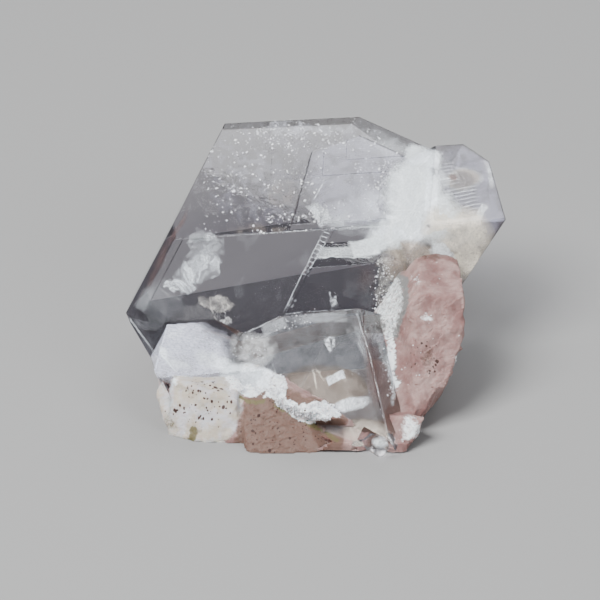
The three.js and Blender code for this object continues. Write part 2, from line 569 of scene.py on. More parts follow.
def turned(template: Array, places: Array, sizes: Array, seed: int) -> Array:
    """Copies of a template's points, each turned a random way, sized and put in its place.

    The turn of each copy is the rotation matrix of a random unit quaternion.

    Args:
        template: the points of one copy.
        places: where the copies go, one a row.
        sizes: how much larger than the template each is.
        seed: the seed of the turns.

    Returns:
        The points of each copy.
    """
    q = np.random.default_rng(seed).normal(size=(len(places), 4))
    w, x, y, z = (q / np.linalg.norm(q, axis=1, keepdims=True)).T
    rows = np.array([
        [1 - 2 * (y * y + z * z), 2 * (x * y - z * w), 2 * (x * z + y * w)],
        [2 * (x * y + z * w), 1 - 2 * (x * x + z * z), 2 * (y * z - x * w)],
        [2 * (x * z - y * w), 2 * (y * z + x * w), 1 - 2 * (x * x + y * y)]])
    spun = np.einsum("ijn,kj->nki", rows, template)
    return spun * sizes[:, None, None] + places[:, None, :]


OCTAHEDRON = np.array([[1, 0, 0], [-1, 0, 0], [0, 1, 0], [0, -1, 0], [0, 0, 1], [0, 0, -1]], float)
OCTAHEDRON_FACES = np.array([
    [0, 2, 4], [2, 1, 4], [1, 3, 4], [3, 0, 4], [2, 0, 5], [1, 2, 5], [3, 1, 5], [0, 3, 5]])


def drawn_sizes(draw: np.random.Generator, limits: Pair, count: int, rarity: float) -> Array:
    """Random sizes between two limits, the large ones the rarer the higher the rarity, which is a power."""
    return limits[0] + (limits[1] - limits[0]) * draw.random(count) ** rarity


def octahedra(name: str, stretch: Triple, places: Array, sizes: Array, seed: int) -> bpy.types.Object:
    """One object of many small octahedra.

    Args:
        name: the piece's name.
        stretch: their half lengths along their own axes, as shares of their size.
        places: where they are, in mm, one a row.
        sizes: the size of each in mm.
        seed: the seed of the way that each is turned.

    Returns:
        The object.
    """
    copies = turned(OCTAHEDRON * stretch, places, sizes, seed)
    count, corners = copies.shape[:2]
    faces = OCTAHEDRON_FACES[None] + (np.arange(count) * corners)[:, None, None]
    mesh = bpy.data.meshes.new(name)
    mesh.from_pydata((copies.reshape(-1, 3) * MM).tolist(), [], faces.reshape(-1, 3).tolist())
    return new_object(name, mesh)


# ---------------------------------------------------------------- material nodes


class Nodes:
    """Builds a node tree a node at a time, from plain values and from the outputs of other nodes."""

    def __init__(self, tree: bpy.types.NodeTree) -> None:
        """Empties the tree that the nodes go into."""
        self.tree = tree
        tree.nodes.clear()

    def add(self, kind: str, values: dict | None = None, **settings: object) -> bpy.types.Node:
        """Adds a node.

        Args:
            kind: the shader node's type, without the words ShaderNode.
            values: what each of its inputs gets, a plain value or a socket that feeds it.
            settings: the node's own options.

        Returns:
            The new node.
        """
        node = self.tree.nodes.new("ShaderNode" + kind)
        for name, value in settings.items():
            setattr(node, name, value)
        self.feed(node, values or {})
        return node

    def feed(self, node: bpy.types.Node, values: dict) -> None:
        """Gives inputs of a node their plain values, or the sockets that feed them.

        Args:
            node: the node.
            values: what each of its inputs gets.
        """
        for name, value in values.items():
            if isinstance(value, Socket):
                self.tree.links.new(value, node.inputs[name])
            else:
                node.inputs[name].default_value = value

    def math(self, operation: str, first: object, second: object, clamp: bool = True) -> Socket:
        """One sum of two numbers or sockets, kept between 0 and 1 where it is clamped."""
        return self.add("Math", {0: first, 1: second}, operation=operation, use_clamp=clamp).outputs[0]

    def between(self, share: object, low: object, high: object) -> Socket:
        """A number on the straight line from low to high."""
        return self.add("MapRange", {"Value": share, "To Min": low, "To Max": high}).outputs[0]

    def ramp(self, value: object, low: float, high: float) -> Socket:
        """0 where the value is at low and 1 where it is at high, with a smooth rise between."""
        limits = {"Value": value, "From Min": low, "From Max": high}
        return self.add("MapRange", limits, interpolation_type="SMOOTHSTEP").outputs[0]

    def mix(self, share: object, first: object, second: object) -> Socket:
        """A colour between two others.

        Args:
            share: 0 for the first colour and 1 for the second.
            first: a colour or a socket that gives one.
            second: the other one.

        Returns:
            The mixed colour.
        """
        ends = [end if isinstance(end, Socket) else (*end, 1.0) for end in (first, second)]
        node = self.add("Mix", {0: share}, data_type="RGBA")
        self.feed(node, {6: ends[0], 7: ends[1]})
        return node.outputs[2]

    def noise(self, scale: float, detail: float = 4.0, stretch: tuple = (1, 1, 1), turn: tuple = (0, 0, 0),
              rough: float = 0.55) -> Socket:
        """Noise over the object's own coordinates, from 0 to 1, its scale being patches a millimetre.

        Args:
            scale: how many patches there are in a millimetre.
            detail: how many finer layers it has.
            stretch: how many times finer it is along each axis.
            turn: how it is turned about each axis, in radians.
            rough: how strong its finer layers are.

        Returns:
            The noise.
        """
        place = self.add("TexCoord").outputs["Object"]
        size = tuple(s / MM for s in stretch)
        mapped = self.add("Mapping", {"Vector": place, "Scale": size, "Rotation": turn}).outputs[0]
        wanted = {"Vector": mapped, "Scale": scale, "Detail": detail, "Roughness": rough}
        return self.add("TexNoise", wanted).outputs[0]

    def value(self, name: str) -> Socket:
        """A number that the mesh carries at each vertex or face."""
        return self.add("Attribute", attribute_name=name).outputs["Fac"]

    def bump(self, height: object, strength: float, distance: float) -> Socket:
        """A surface direction that a height leans over, the distance being in mm."""
        values = {"Height": height, "Strength": strength, "Distance": distance * MM}
        return self.add("Bump", values).outputs[0]


def grain_group() -> bpy.types.NodeTree:
    """The grain of broken fluorite: a height from two sizes of noise and a mask of small bright glints.

    Its inputs are how many coarse patches there are in a millimetre, how many times finer the fine ones are,
    and how rare a glint is.

    Returns:
        The node group, whose outputs are Height and Glint.
    """
    tree = bpy.data.node_groups.new("broken_grain", "ShaderNodeTree")
    for name, start in (("Scale", 2.0), ("Finer", 5.0), ("Rarity", 0.7)):
        tree.interface.new_socket(name, in_out="INPUT", socket_type="NodeSocketFloat").default_value = start
    tree.interface.new_socket("Height", in_out="OUTPUT", socket_type="NodeSocketFloat")
    tree.interface.new_socket("Glint", in_out="OUTPUT", socket_type="NodeSocketFloat")
    nodes = Nodes(tree)
    given = tree.nodes.new("NodeGroupInput").outputs
    place = nodes.add("TexCoord").outputs["Object"]
    mapped = nodes.add("Mapping", {"Vector": place, "Scale": (1 / MM, 1 / MM, 1 / MM)}).outputs[0]
    fine_scale = nodes.math("MULTIPLY", given["Scale"], given["Finer"], clamp=False)
    coarse = nodes.add("TexNoise", {"Vector": mapped, "Scale": given["Scale"], "Detail": 5.0}).outputs[0]
    cells = nodes.add("TexVoronoi", {"Vector": mapped, "Scale": fine_scale}, feature="F1")
    half = nodes.math("MULTIPLY", cells.outputs["Distance"], 0.5)
    tilt = nodes.add("SeparateColor", {0: cells.outputs["Color"]}).outputs[0]
    height = nodes.math("ADD", nodes.math("MULTIPLY", coarse, 0.6), nodes.math("MULTIPLY", half, 0.5))
    glint = nodes.math("GREATER_THAN", tilt, given["Rarity"])
    out = tree.nodes.new("NodeGroupOutput")
    tree.links.new(height, out.inputs["Height"])
    tree.links.new(glint, out.inputs["Glint"])
    return tree


def material(name: str, preview: Triple) -> tuple[bpy.types.Material, Nodes]:
    """An empty material and the builder of its nodes.

    Args:
        name: its name.
        preview: its colour in a plain view.

    Returns:
        The material and the builder.
    """
    made = bpy.data.materials.new(name)
    made.use_nodes = True
    made.diffuse_color = (*preview, 1.0)
    return made, Nodes(made.node_tree)


@dataclass(frozen=True)
class ClearFluorite:
    """Colourless fluorite with a faint lilac-grey cast, glassy, with slow growth hillocks and dull patches.

    Attributes:
        ior: how strongly it bends light.
        tint: what each face lets through.
        absorbed: the colour that its inside leaves.
        density: how strongly its inside absorbs, for each metre.
        polish: the roughness of its clean faces.
        dull: the roughness of its dull patches.
        etched: the roughness of the faces that were etched in the ground.
        relief: the strength and the height in mm of its hillocks.
        lamp_share: what it lets through of the lamps' light on what lies behind it.
    """

    ior: float = FLUORITE_IOR
    tint: Triple = (0.88, 0.875, 0.9)
    absorbed: Triple = (0.46, 0.44, 0.48)
    density: float = 125.0
    polish: float = 0.02
    dull: float = 0.12
    etched: float = 0.18
    relief: Pair = (0.08, 0.04)
    lamp_share: Triple = (0.9, 0.9, 0.91)

    def build(self) -> bpy.types.Material:
        """The glass: plain transmission, IOR and absorption, and lamps let through it.

        Returns:
            The material.
        """
        made, nodes = material("clear_fluorite", (0.75, 0.73, 0.78))
        hillocks = nodes.noise(0.6, 1.0)
        ripple = nodes.noise(1.6, 1.0, stretch=(1.0, 1.0, 0.35), turn=(0.3, 0.5, 0.2))
        broad, narrow = nodes.math("MULTIPLY", hillocks, 0.6), nodes.math("MULTIPLY", ripple, 0.4)
        height = nodes.math("ADD", broad, narrow)
        patches = nodes.ramp(nodes.noise(0.45, 6.0, rough=0.65), 0.42, 0.72)
        plain = nodes.between(patches, self.polish, self.dull)
        rough = nodes.between(nodes.value("etched"), plain, self.etched)
        glass = nodes.add("BsdfPrincipled", {
            "Base Color": (*self.tint, 1.0), "Roughness": rough, "IOR": self.ior, "Transmission Weight": 1.0,
            "Normal": nodes.bump(height, *self.relief)}).outputs[0]
        lamps = nodes.add("BsdfTransparent", {0: (*self.lamp_share, 1.0)}).outputs[0]
        shadow = nodes.add("LightPath").outputs["Is Shadow Ray"]
        surface = nodes.add("MixShader", {0: shadow, 1: glass, 2: lamps}).outputs[0]
        inside = nodes.add("VolumeAbsorption", {"Color": (*self.absorbed, 1.0), "Density": self.density})
        nodes.add("OutputMaterial", {"Surface": surface, "Volume": inside.outputs[0]})
        return made


@dataclass(frozen=True)
class MilkyVeil:
    """Clouds of tiny cavities: white with a blue cast, cream where stained, brown where iron got in; also
    painted edge highlights, a painted sheen and painted shade.
    """

    white: Triple = (0.89, 0.95, 0.98)
    lilac: Triple = (0.55, 0.56, 0.70)
    cream: Triple = (0.82, 0.75, 0.62)
    rust: Triple = (0.10, 0.05, 0.042)

    def build(self, grain: bpy.types.NodeTree) -> bpy.types.Material:
        """A pale surface that the mesh's density numbers let through, broken up by fine noise.

        Args:
            grain: the shared grain.

        Returns:
            The material.
        """
        made, nodes = material("milky_veil", self.white)
        stain = nodes.value("warmth")
        cool = nodes.mix(nodes.ramp(stain, 0.0, -1.0), self.white, self.lilac)
        pale = nodes.mix(nodes.ramp(stain, 0.0, 0.5), cool, self.cream)
        colour = nodes.mix(nodes.ramp(stain, 0.5, 1.0), pale, self.rust)
        texture = nodes.add("Group", {"Scale": 3.0, "Finer": 4.0, "Rarity": 0.75}, node_tree=grain)
        fine = nodes.ramp(nodes.noise(5.0, 6.0, rough=0.7), 0.3, 0.7)
        shown = nodes.math("MULTIPLY", nodes.value("thickness"), nodes.between(fine, 0.55, 1.15))
        body = nodes.add("BsdfPrincipled", {
            "Base Color": colour, "Roughness": 0.45, "Alpha": shown,
            "Normal": nodes.bump(texture.outputs["Height"], 0.5, 0.12)}).outputs[0]
        nodes.add("OutputMaterial", {"Surface": body})
        return made


@dataclass(frozen=True)
class FrostedGrain:
    """Tiny white crystals and pits, dull and faintly see-through."""

    colour: Triple = (0.88, 0.9, 0.93)
    shade: Triple = (0.62, 0.63, 0.68)

    def build(self, grain: bpy.types.NodeTree) -> bpy.types.Material:
        """A pale, slightly glossy surface whose colour changes from grain to grain.

        Args:
            grain: the shared grain.

        Returns:
            The material.
        """
        made, nodes = material("frosted_grain", self.colour)
        texture = nodes.add("Group", {"Scale": 4.0, "Finer": 2.5, "Rarity": 0.6}, node_tree=grain)
        colour = nodes.mix(nodes.ramp(nodes.noise(1.6, 3.0), 0.35, 0.65), self.colour, self.shade)
        body = nodes.add("BsdfPrincipled", {
            "Base Color": colour, "Roughness": 0.35, "IOR": FLUORITE_IOR, "Subsurface Weight": 0.4,
            "Subsurface Radius": (0.6, 0.6, 0.7), "Subsurface Scale": 0.3 * MM,
            "Normal": nodes.bump(texture.outputs["Height"], 0.4, 0.05)}).outputs[0]
        nodes.add("OutputMaterial", {"Surface": body})
        return made


@dataclass(frozen=True)
class PinkFluorite:
    """Massive fluorite: dusty rose, paler where it thins, cream and brown where weathered, with dark specks;
    brown, clay and olive also paint shade.

    Attributes:
        speckings: the cells of its specks in a metre along each axis, and the reach of the largest in cells.
        scatter: how deep red, green and blue light goes, against each other.
        depth: how deep it goes, in mm.
        dry: its roughness where it is dry.
        damp: its roughness where it is glassy.
    """

    rose: Triple = (0.19, 0.098, 0.09)
    pale: Triple = (0.34, 0.235, 0.215)
    cream: Triple = (0.42, 0.375, 0.31)
    pearl: Triple = (0.46, 0.45, 0.47)
    # The brown, clay and olive are the stone's own tones and also painted shade: under the crystals, in the
    # groove, on the undercut wall and as a line under the crust.
    brown: Triple = (0.075, 0.042, 0.03)
    clay: Triple = (0.135, 0.08, 0.062)
    olive: Triple = (0.12, 0.10, 0.045)
    grey: Triple = (0.17, 0.165, 0.16)
    frost: Triple = (0.84, 0.87, 0.88)
    speck: Triple = (0.04, 0.016, 0.012)
    speckings: tuple[tuple[Triple, float], ...] = (
        ((1900.0, 1900.0, 1150.0), 0.42), ((4200.0, 4200.0, 2900.0), 0.5))
    scatter: Triple = (1.0, 0.55, 0.5)
    depth: float = 0.8
    dry: float = 0.62
    damp: float = 0.2

    def build(self, grain: bpy.types.NodeTree) -> bpy.types.Material:
        """The stone, its colours laid where the mesh's numbers say and their edges broken by noise.

        Args:
            grain: the shared grain.

        Returns:
            The material.
        """
        made, nodes = material("pink_fluorite", self.rose)
        clouds = nodes.ramp(nodes.noise(0.6, 5.0, stretch=(1.0, 1.0, 0.4), rough=0.6), 0.34, 0.7)
        colour = nodes.mix(clouds, self.rose, self.pale)
        torn = nodes.noise(3.2, 6.0, rough=0.7)
        mottled = nodes.ramp(nodes.noise(0.8, 6.0, rough=0.65), 0.4, 0.62)
        cream = nodes.mix(mottled, self.cream, self.pearl)
        for name, tone in (("cream", cream), ("clay", self.clay), ("brown", self.brown),
                           ("olive", self.olive), ("grey", self.grey), ("frost", self.frost)):
            spread = nodes.math("ADD", nodes.value(name), torn, clamp=False)
            colour = nodes.mix(nodes.ramp(spread, 0.82, 1.18), colour, tone)
        texture = nodes.add("Group", {"Scale": 2.2, "Finer": 4.6, "Rarity": 0.9985}, node_tree=grain)
        glint = nodes.math("MULTIPLY", texture.outputs["Glint"], nodes.value("glint"))
        colour = nodes.mix(nodes.math("MULTIPLY", glint, 0.6), colour, self.frost)
        for scale, reach in self.speckings:
            colour = nodes.mix(self.specks(nodes, scale, reach), colour, self.speck)
        wet = nodes.value("wet")
        body = nodes.add("BsdfPrincipled", {
            "Base Color": colour, "Roughness": nodes.between(wet, self.dry, self.damp), "IOR": FLUORITE_IOR,
            "Subsurface Weight": 0.35, "Subsurface Radius": self.scatter,
            "Subsurface Scale": self.depth * MM,
            "Coat Weight": nodes.math("MULTIPLY", wet, 0.6), "Coat Roughness": 0.12,
            "Normal": nodes.bump(texture.outputs["Height"], 0.5, 0.12)}).outputs[0]
        nodes.add("OutputMaterial", {"Surface": body})
        return made

    def specks(self, nodes: Nodes, scale: Triple, reach: float) -> Socket:
        """Where small dark grains lie inside the speckled places.

        Args:
            nodes: the material's nodes.
            scale: how many of their cells there are in a metre along each axis.
            reach: how far the largest grain reaches from the middle of its cell, in cells.

        Returns:
            A mask of the grains, each of its own size.
        """
        place = nodes.add("TexCoord").outputs["Object"]
        turn = (0.3, 0.7, 0.2)
        mapped = nodes.add("Mapping", {"Vector": place, "Scale": scale, "Rotation": turn}).outputs[0]
        bent = nodes.add("TexNoise", {"Vector": mapped, "Scale": 1.8, "Detail": 3.0}).outputs[1]
        slight = nodes.add("VectorMath", {0: bent, "Scale": 0.5}, operation="SCALE").outputs[0]
        moved = nodes.add("VectorMath", {0: mapped, 1: slight}, operation="ADD").outputs[0]
        cells = nodes.add("TexVoronoi", {"Vector": moved, "Scale": 1.0}, feature="F1")
        drawn = nodes.add("SeparateColor", {0: cells.outputs["Color"]}).outputs[1]
        size = nodes.math("POWER", drawn, 2.0)
        limit = nodes.math("MULTIPLY", nodes.math("MULTIPLY", size, nodes.value("speckled")), reach)
        edge = nodes.math("SUBTRACT", limit, cells.outputs["Distance"], clamp=False)
        return nodes.ramp(edge, 0.0, 0.05)


@dataclass(frozen=True)
class StudioFloor:
    """A plain pale sweep of card."""

    colour: Triple = (0.25, 0.25, 0.248)

    def build(self) -> bpy.types.Material:
        """Matt card with the faintest tooth.

        Returns:
            The material.
        """
        made, nodes = material("studio_floor", self.colour)
        body = nodes.add("BsdfPrincipled", {
            "Base Color": (*self.colour, 1.0), "Roughness": 0.75,
            "Normal": nodes.bump(nodes.noise(3.0, 2.0), 0.04, 0.05)}).outputs[0]
        nodes.add("OutputMaterial", {"Surface": body})
        return made


@dataclass(frozen=True)
class Finishes:
    """Every material of the specimen, built once."""

    clear: bpy.types.Material
    veil: bpy.types.Material
    frost: bpy.types.Material
    pink: bpy.types.Material
    floor: bpy.types.Material

    @classmethod
    def build(cls) -> "Finishes":
        """Builds the shared grain and then each material.

        Returns:
            All the materials.
        """
        grain = grain_group()
        return cls(ClearFluorite().build(), MilkyVeil().build(grain), FrostedGrain().build(grain),
                   PinkFluorite().build(grain), StudioFloor().build())


# ---------------------------------------------------------------- the clear crystals


@dataclass(frozen=True)
class Plate:
    """A thin growth layer on one face of a crystal, ended by walls through points given in the view.

    Attributes:
        crystal: the crystal that it grew on.
        face: the number of the face that it grew on.
        height: how far it stands out, in mm.
        walls: a (bearing, dip, across, up) for each wall, in degrees and in mm of the view.
        margin: how far it keeps inside the crystal's other faces, in mm.
    """

    crystal: str
    face: int
    height: float
    walls: tuple[tuple[float, float, float, float], ...]
    margin: float = 0.03

    def corners(self) -> Array:
        """The corners of the crystal with this one face raised, its others drawn in, and the walls added.

        Returns:
            The corners in mm, one a row.
        """
        normals, reach = CRYSTALS[self.crystal].planes()
        table = np.array(self.walls, float)
        wall_normals = LATTICE.bearing(table[:, 0], table[:, 1])
        start = SIGHT.point(table[:, 2], table[:, 3], 0.0)
        face = normals[self.face]
        depth = (reach[self.face] - start @ face) / (face @ SIGHT.towards)
        points = start + depth[:, None] * SIGHT.towards
        wall_reach = np.sum(points * wall_normals, axis=1)
        drawn_in = reach - self.margin
        drawn_in[self.face] = reach[self.face] + self.height
        return corner_points(np.vstack([normals, wall_normals]), np.append(drawn_in, wall_reach))


def flatten(shape: bmesh.types.BMesh, angle: float) -> None:
    """Makes one face of those that meet at less than an angle in degrees."""
    bmesh.ops.dissolve_limit(shape, angle_limit=math.radians(angle), verts=shape.verts, edges=shape.edges)


def stored(name: str, shape: bmesh.types.BMesh) -> bpy.types.Object:
    """An object that holds an edited shape, which is given up.

    Args:
        name: its name.
        shape: the edited shape.

    Returns:
        The object.
    """
    mesh = bpy.data.meshes.new(name)
    shape.to_mesh(mesh)
    shape.free()
    return new_object(name, mesh)


def rounded_hull(name: str, corners: Array, edge: float) -> bpy.types.Object:
    """A closed convex object round some points, still in mm.

    Args:
        name: the object's name.
        corners: the points.
        edge: how far back from each edge its rounding starts, in mm, or 0 for none.

    Returns:
        The object, its flat faces whole and its edges rounded.
    """
    shape = bmesh.new()
    for corner in corners:
        shape.verts.new(corner)
    hull = bmesh.ops.convex_hull(shape, input=shape.verts)
    spare = {v for v in hull["geom_interior"] + hull["geom_unused"] if isinstance(v, bmesh.types.BMVert)}
    bmesh.ops.delete(shape, geom=list(spare), context="VERTS")
    if edge > 0.0:
        flatten(shape, 0.5)
        bmesh.ops.bevel(
            shape, geom=list(shape.edges), offset=edge, segments=2, profile=0.5, affect="EDGES",
            clamp_overlap=True)
    bmesh.ops.recalc_face_normals(shape, faces=shape.faces)
    return stored(name, shape)


def merged_copy(name: str, node: str) -> bpy.types.Object:
    """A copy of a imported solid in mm, its loose triangles merged and its flat faces made whole.

    Args:
        name: its name.
        node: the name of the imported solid.

    Returns:
        The copy.
    """
    shape = bmesh.new()
    shape.from_mesh(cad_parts[node].data)
    bmesh.ops.scale(shape, vec=(1 / MM, 1 / MM, 1 / MM), verts=shape.verts)
    same_point = 1e-4
    bmesh.ops.remove_doubles(shape, verts=shape.verts, dist=same_point)
    flatten(shape, 0.3)
    return stored(name, shape)


def bake(thing: bpy.types.Object) -> None:
    """Makes an object's modifiers part of its mesh.

    Args:
        thing: the object.
    """
    graph = bpy.context.evaluated_depsgraph_get()
    made = bpy.data.meshes.new_from_object(thing.evaluated_get(graph), depsgraph=graph)
    thing.modifiers.clear()
    old = thing.data
    made.name = old.name
    thing.data = made
    bpy.data.meshes.remove(old)


def join(thing: bpy.types.Object, joined: list[bpy.types.Object]) -> None:
    """Joins some solids to an object, and deletes them.

    Args:
        thing: the object.
        joined: the solids.
    """
    together = bpy.data.collections.new("tools")
    for tool in joined:
        together.objects.link(tool)
    change = thing.modifiers.new("union", "BOOLEAN")
    change.operation = "UNION"
    change.solver = "EXACT"
    change.operand_type = "COLLECTION"
    change.collection = together
    bake(thing)
    for tool in joined:
        bpy.data.objects.remove(tool)
    bpy.data.collections.remove(together)


@dataclass
class ClearCrystals:
    """The crystals as one body of clear fluorite, with growth layers on its faces and worn edges.

    Attributes:
        finishes: the materials.
        edge: how far back from its edges a crystal's rounding starts, in mm.
        layer_edge: the same for a growth layer.
        almost: how close together points lie that the joins left apart and that are merged, in mm.
        turned_away: how far a face points away from the viewer where its etching starts and is full.
        worn: the crystals that are worn round.
        plates: the growth layers.
    """

    finishes: Finishes
    edge: float = 0.06
    layer_edge: float = 0.02
    almost: float = 0.001
    turned_away: Pair = (0.05, 0.3)
    worn: tuple[str, ...] = ("bead",)
    plates: tuple[Plate, ...] = (
        Plate("main", 0, 0.05, ((150, 0, -0.88, 14.4), (30, 0, 12.0, 18.0))),
        Plate("main", 0, 0.11, ((150, 0, -0.42, 14.4), (30, 0, 12.0, 18.0))),
        Plate("main", 0, 0.05, ((330, 0, -7.6, 13.6), (90, 0, -9.0, 15.8), (270, 0, -9.0, 10.6))),
        Plate("top_layer", 1, 0.05, ((270, 20, 0.0, 22.4), (150, 0, 0.6, 22.4))),
        Plate("top_layer", 1, 0.1, ((150, 0, 2.4, 22.4), (270, 20, 0.0, 23.6))),
        Plate("main", 1, 0.05, ((330, 0, -3.6, 22.0), (90, -20, -6.0, 24.6))),
        Plate("corner", 1, 0.05, ((90, 0, 12.0, 22.6), (270, 0, 12.0, 21.4))),
        Plate("corner", 1, 0.08, ((90, 0, 12.0, 22.2), (270, 0, 12.0, 21.8))),
        Plate("corner", 1, 0.05, ((90, 0, 12.0, 20.9), (270, 0, 12.0, 20.4))),
        Plate("corner", 1, 0.06, ((90, 0, 12.0, 19.9), (270, 0, 12.0, 19.1))),
        Plate("front", 0, 0.05, ((330, 0, 0.4, 8.4), (90, 0, 0.0, 9.6))),
        Plate("front", 1, 0.05, ((150, 0, 3.6, 6.4), (270, 0, 3.6, 4.0))),
        Plate("ledge", 0, 0.06, ((90, 0, -10.0, 9.2), (30, 0, -8.2, 8.4))),
    )

    def build(self) -> bpy.types.Object:
        """Rounds the edges of each crystal and each growth layer, and joins them all.

        Returns:
            The finished piece.
        """
        crystals = [
            rounded_hull(name, crystal.worn_round(), 0.0) if name in self.worn
            else rounded_hull(name, corner_points(*crystal.planes()), self.edge)
            for name, crystal in CRYSTALS.items()]
        layers = [
            rounded_hull(f"layer_{number}", plate.corners(), self.layer_edge)
            for number, plate in enumerate(self.plates)]
        body = crystals[0]
        body.name = body.data.name = "clear_crystal_group"
        join(body, crystals[1:])
        join(body, layers)
        with reshaped(body.data) as shape:
            bmesh.ops.remove_doubles(shape, verts=shape.verts, dist=self.almost)
        self.etch(body.data)
        body.data.transform(Matrix.Scale(MM, 4))
        return finish_piece(body, self.finishes.clear, "clear_crystals")

    def etch(self, mesh: bpy.types.Mesh) -> None:
        """Stores how far each face was etched dull in the ground, which the backs and undersides were."""
        away = -(vectors(mesh.polygons, "normal") @ SIGHT.towards)
        add_values(mesh, "etched", smooth_step(*self.turned_away, away), "FACE")


@dataclass(frozen=True)
class Veil:
    """A milky sheet that follows the crystals' faces from just below them; a few carry painted highlights, a
    painted sheen and painted shade.

    Attributes:
        name: the piece's name.
        patches: its clouds.
        crystals: the crystals that it keeps to, or none for all of them.
        inset: how far under the surface it lies, in mm.
        ruffle: how much deeper than that its folds reach, in mm.
        fold: how wide its folds are, in mm.
        broken: how far noise breaks it up, from 0 to 1.
        grain: the size of that noise in mm.
        threads: the share of it that is drawn out into thin ridges.
        spacing: the distance between its points, in mm.
        fray: how far its outlines stray, in mm.
        seed: which noise it has.
        seed_step: how much the seed grows from sheet to sheet.
        sheets: how many sheets it has, each further down than the last.
        apart: how far the sheets are from each other, in mm.
        burst: the place, across and up, that its fibres spread from, if it has any.
        level: how far to either side the crystals' surface is averaged for it, in mm, to bridge edges.
        slab: how thick a sheet is, in mm.
        trace: the density under which it has no face.
        keen: how quickly one patch's stain gives way to the next one's.
        cloudy: the height of the noise where the veil is thinnest and where it is thickest.
        longest: the longest side that a face may have, in mm.
    """

    name: str
    patches: tuple[Patch, ...]
    crystals: tuple[str, ...] = ()
    inset: float = 0.12
    ruffle: float = 0.0
    fold: float = 1.6
    broken: float = 0.5
    grain: float = 1.0
    threads: float = 0.0
    spacing: float = 0.08
    fray: float = 0.9
    seed: float = 1.0
    seed_step: float = 0.37
    sheets: int = 1
    apart: float = 0.5
    burst: Pair | None = None
    level: float = 0.0
    slab: float = 0.02
    trace: float = 0.02
    longest: float = 0.35
    keen: float = 5.0
    cloudy: Pair = (-0.45, 0.35)

    def window(self) -> tuple[Array, Array]:
        """A grid over the part of the view that the patches cover, across and up, in mm.

        Returns:
            How far across and up the view each place is.
        """
        reach = [max(patch.size) for patch in self.patches]
        low = np.min([np.array(p.centre) - r for p, r in zip(self.patches, reach)], axis=0)
        high = np.max([np.array(p.centre) + r for p, r in zip(self.patches, reach)], axis=0)
        across = np.arange(low[0], high[0], self.spacing)
        up = np.arange(low[1], high[1], self.spacing)
        return np.meshgrid(across, up)

    def density(self, across: Array, up: Array, seed: float) -> tuple[Array, Array]:
        """How thick the veil is at each place, and how stained.

        The thickest patch counts at each place. Noise takes a share of it away, and thin ridges of noise
        take the place of the rest where the veil is drawn out into threads. The sheet has two sides, so each
        side hides what it must for both to hide the share that is wanted: 1 - sqrt(1 - share).

        Args:
            across: millimetres to the right of the view's zero line.
            up: millimetres up the view.
            seed: which noise it has.

        Returns:
            The density and the stain at each place.
        """
        moved = ragged(across, up, self.fray, seed)
        shares = np.array([patch.share(*moved) for patch in self.patches])
        thick = shares.max(axis=0)
        stain = np.array([p.warmth for p in self.patches])
        weights = shares ** self.keen
        warmth = np.sum(weights * stain[:, None, None], axis=0) / np.maximum(weights.sum(axis=0), NOTHING)
        flat = flat_points(across, up, seed)
        cloudy = smooth_step(*self.cloudy, layered(flat, self.grain, seed, 5))
        drawn = self.drawn(flat, seed)
        texture = (1.0 - self.broken) + self.broken * (
            (1.0 - self.threads) * cloudy + self.threads * drawn)
        return 1.0 - np.sqrt(1.0 - np.clip(thick * texture, 0.0, 1.0)), warmth

    def drawn(self, flat: Array, seed: float) -> Array:
        """The threads: ridges that wander, or fibres that spread from where the veil bursts.

        Args:
            flat: the places as points for noise.
            seed: which noise they have.

        Returns:
            How strong they are at each place, from 0 to 1.
        """
        if self.burst is None:
            return ridged(flat + layered(flat, 2.0, 9.0)[..., None], self.grain * 1.4, seed + 5.0)
        x, y = flat[..., 0] - self.burst[0], flat[..., 1] - self.burst[1]
        bend, crowding, slowness = 0.35, 6.0, 0.45
        bent = np.arctan2(y, x) + bend * layered(flat, 1.1, seed + 8.0)
        polar = flat_points(bent * crowding, np.hypot(x, y) * slowness, seed)
        return smooth_step(-0.35, 0.45, layered(polar, 0.8, seed + 5.0, 5))

    def build(self, finish: bpy.types.Material) -> bpy.types.Object:
        """Its sheets as thin closed slabs, with their thickness and stain at each point.

        Args:
            finish: the material of the veils.

        Returns:
            The finished piece.
        """
        across, up = self.window()
        seen = seen_surface(across, up)
        near, normal = seen.near, seen.normal
        if self.level:
            near = blurred(near, seen.which >= 0, round(self.level / self.spacing))
            normal = np.broadcast_to(SIGHT.towards, normal.shape)
        flat = flat_points(across, up, 3.0)
        made = []
        for sheet in range(self.sheets):
            seed = self.seed + self.seed_step * sheet
            density, warmth = self.density(across, up, seed)
            fold = 0.5 + 0.5 * layered(flat, self.fold, seed + 2.0, 4)
            depth = self.inset + self.apart * sheet + self.ruffle * fold
            gone = ~seen.on(*self.crystals) | (density < self.trace)
            made.append((SIGHT.point(across, up, near) - normal * depth[..., None], gone, density, warmth))
        points, gone, density, warmth = (np.concatenate(parts) for parts in zip(*made))
        mesh = sheet_mesh(self.name, points, gone, self.longest)
        add_values(mesh, "thickness", density.ravel())
        add_values(mesh, "warmth", warmth.ravel())
        with reshaped(mesh) as shape:
            bmesh.ops.delete(shape, geom=[v for v in shape.verts if not v.link_faces], context="VERTS")
        thing = new_object(self.name, mesh)
        thin = thing.modifiers.new("thin", "SOLIDIFY")
        thin.thickness = self.slab * MM
        thin.offset = 0.0
        return finish_piece(thing, finish, "clear_crystals")


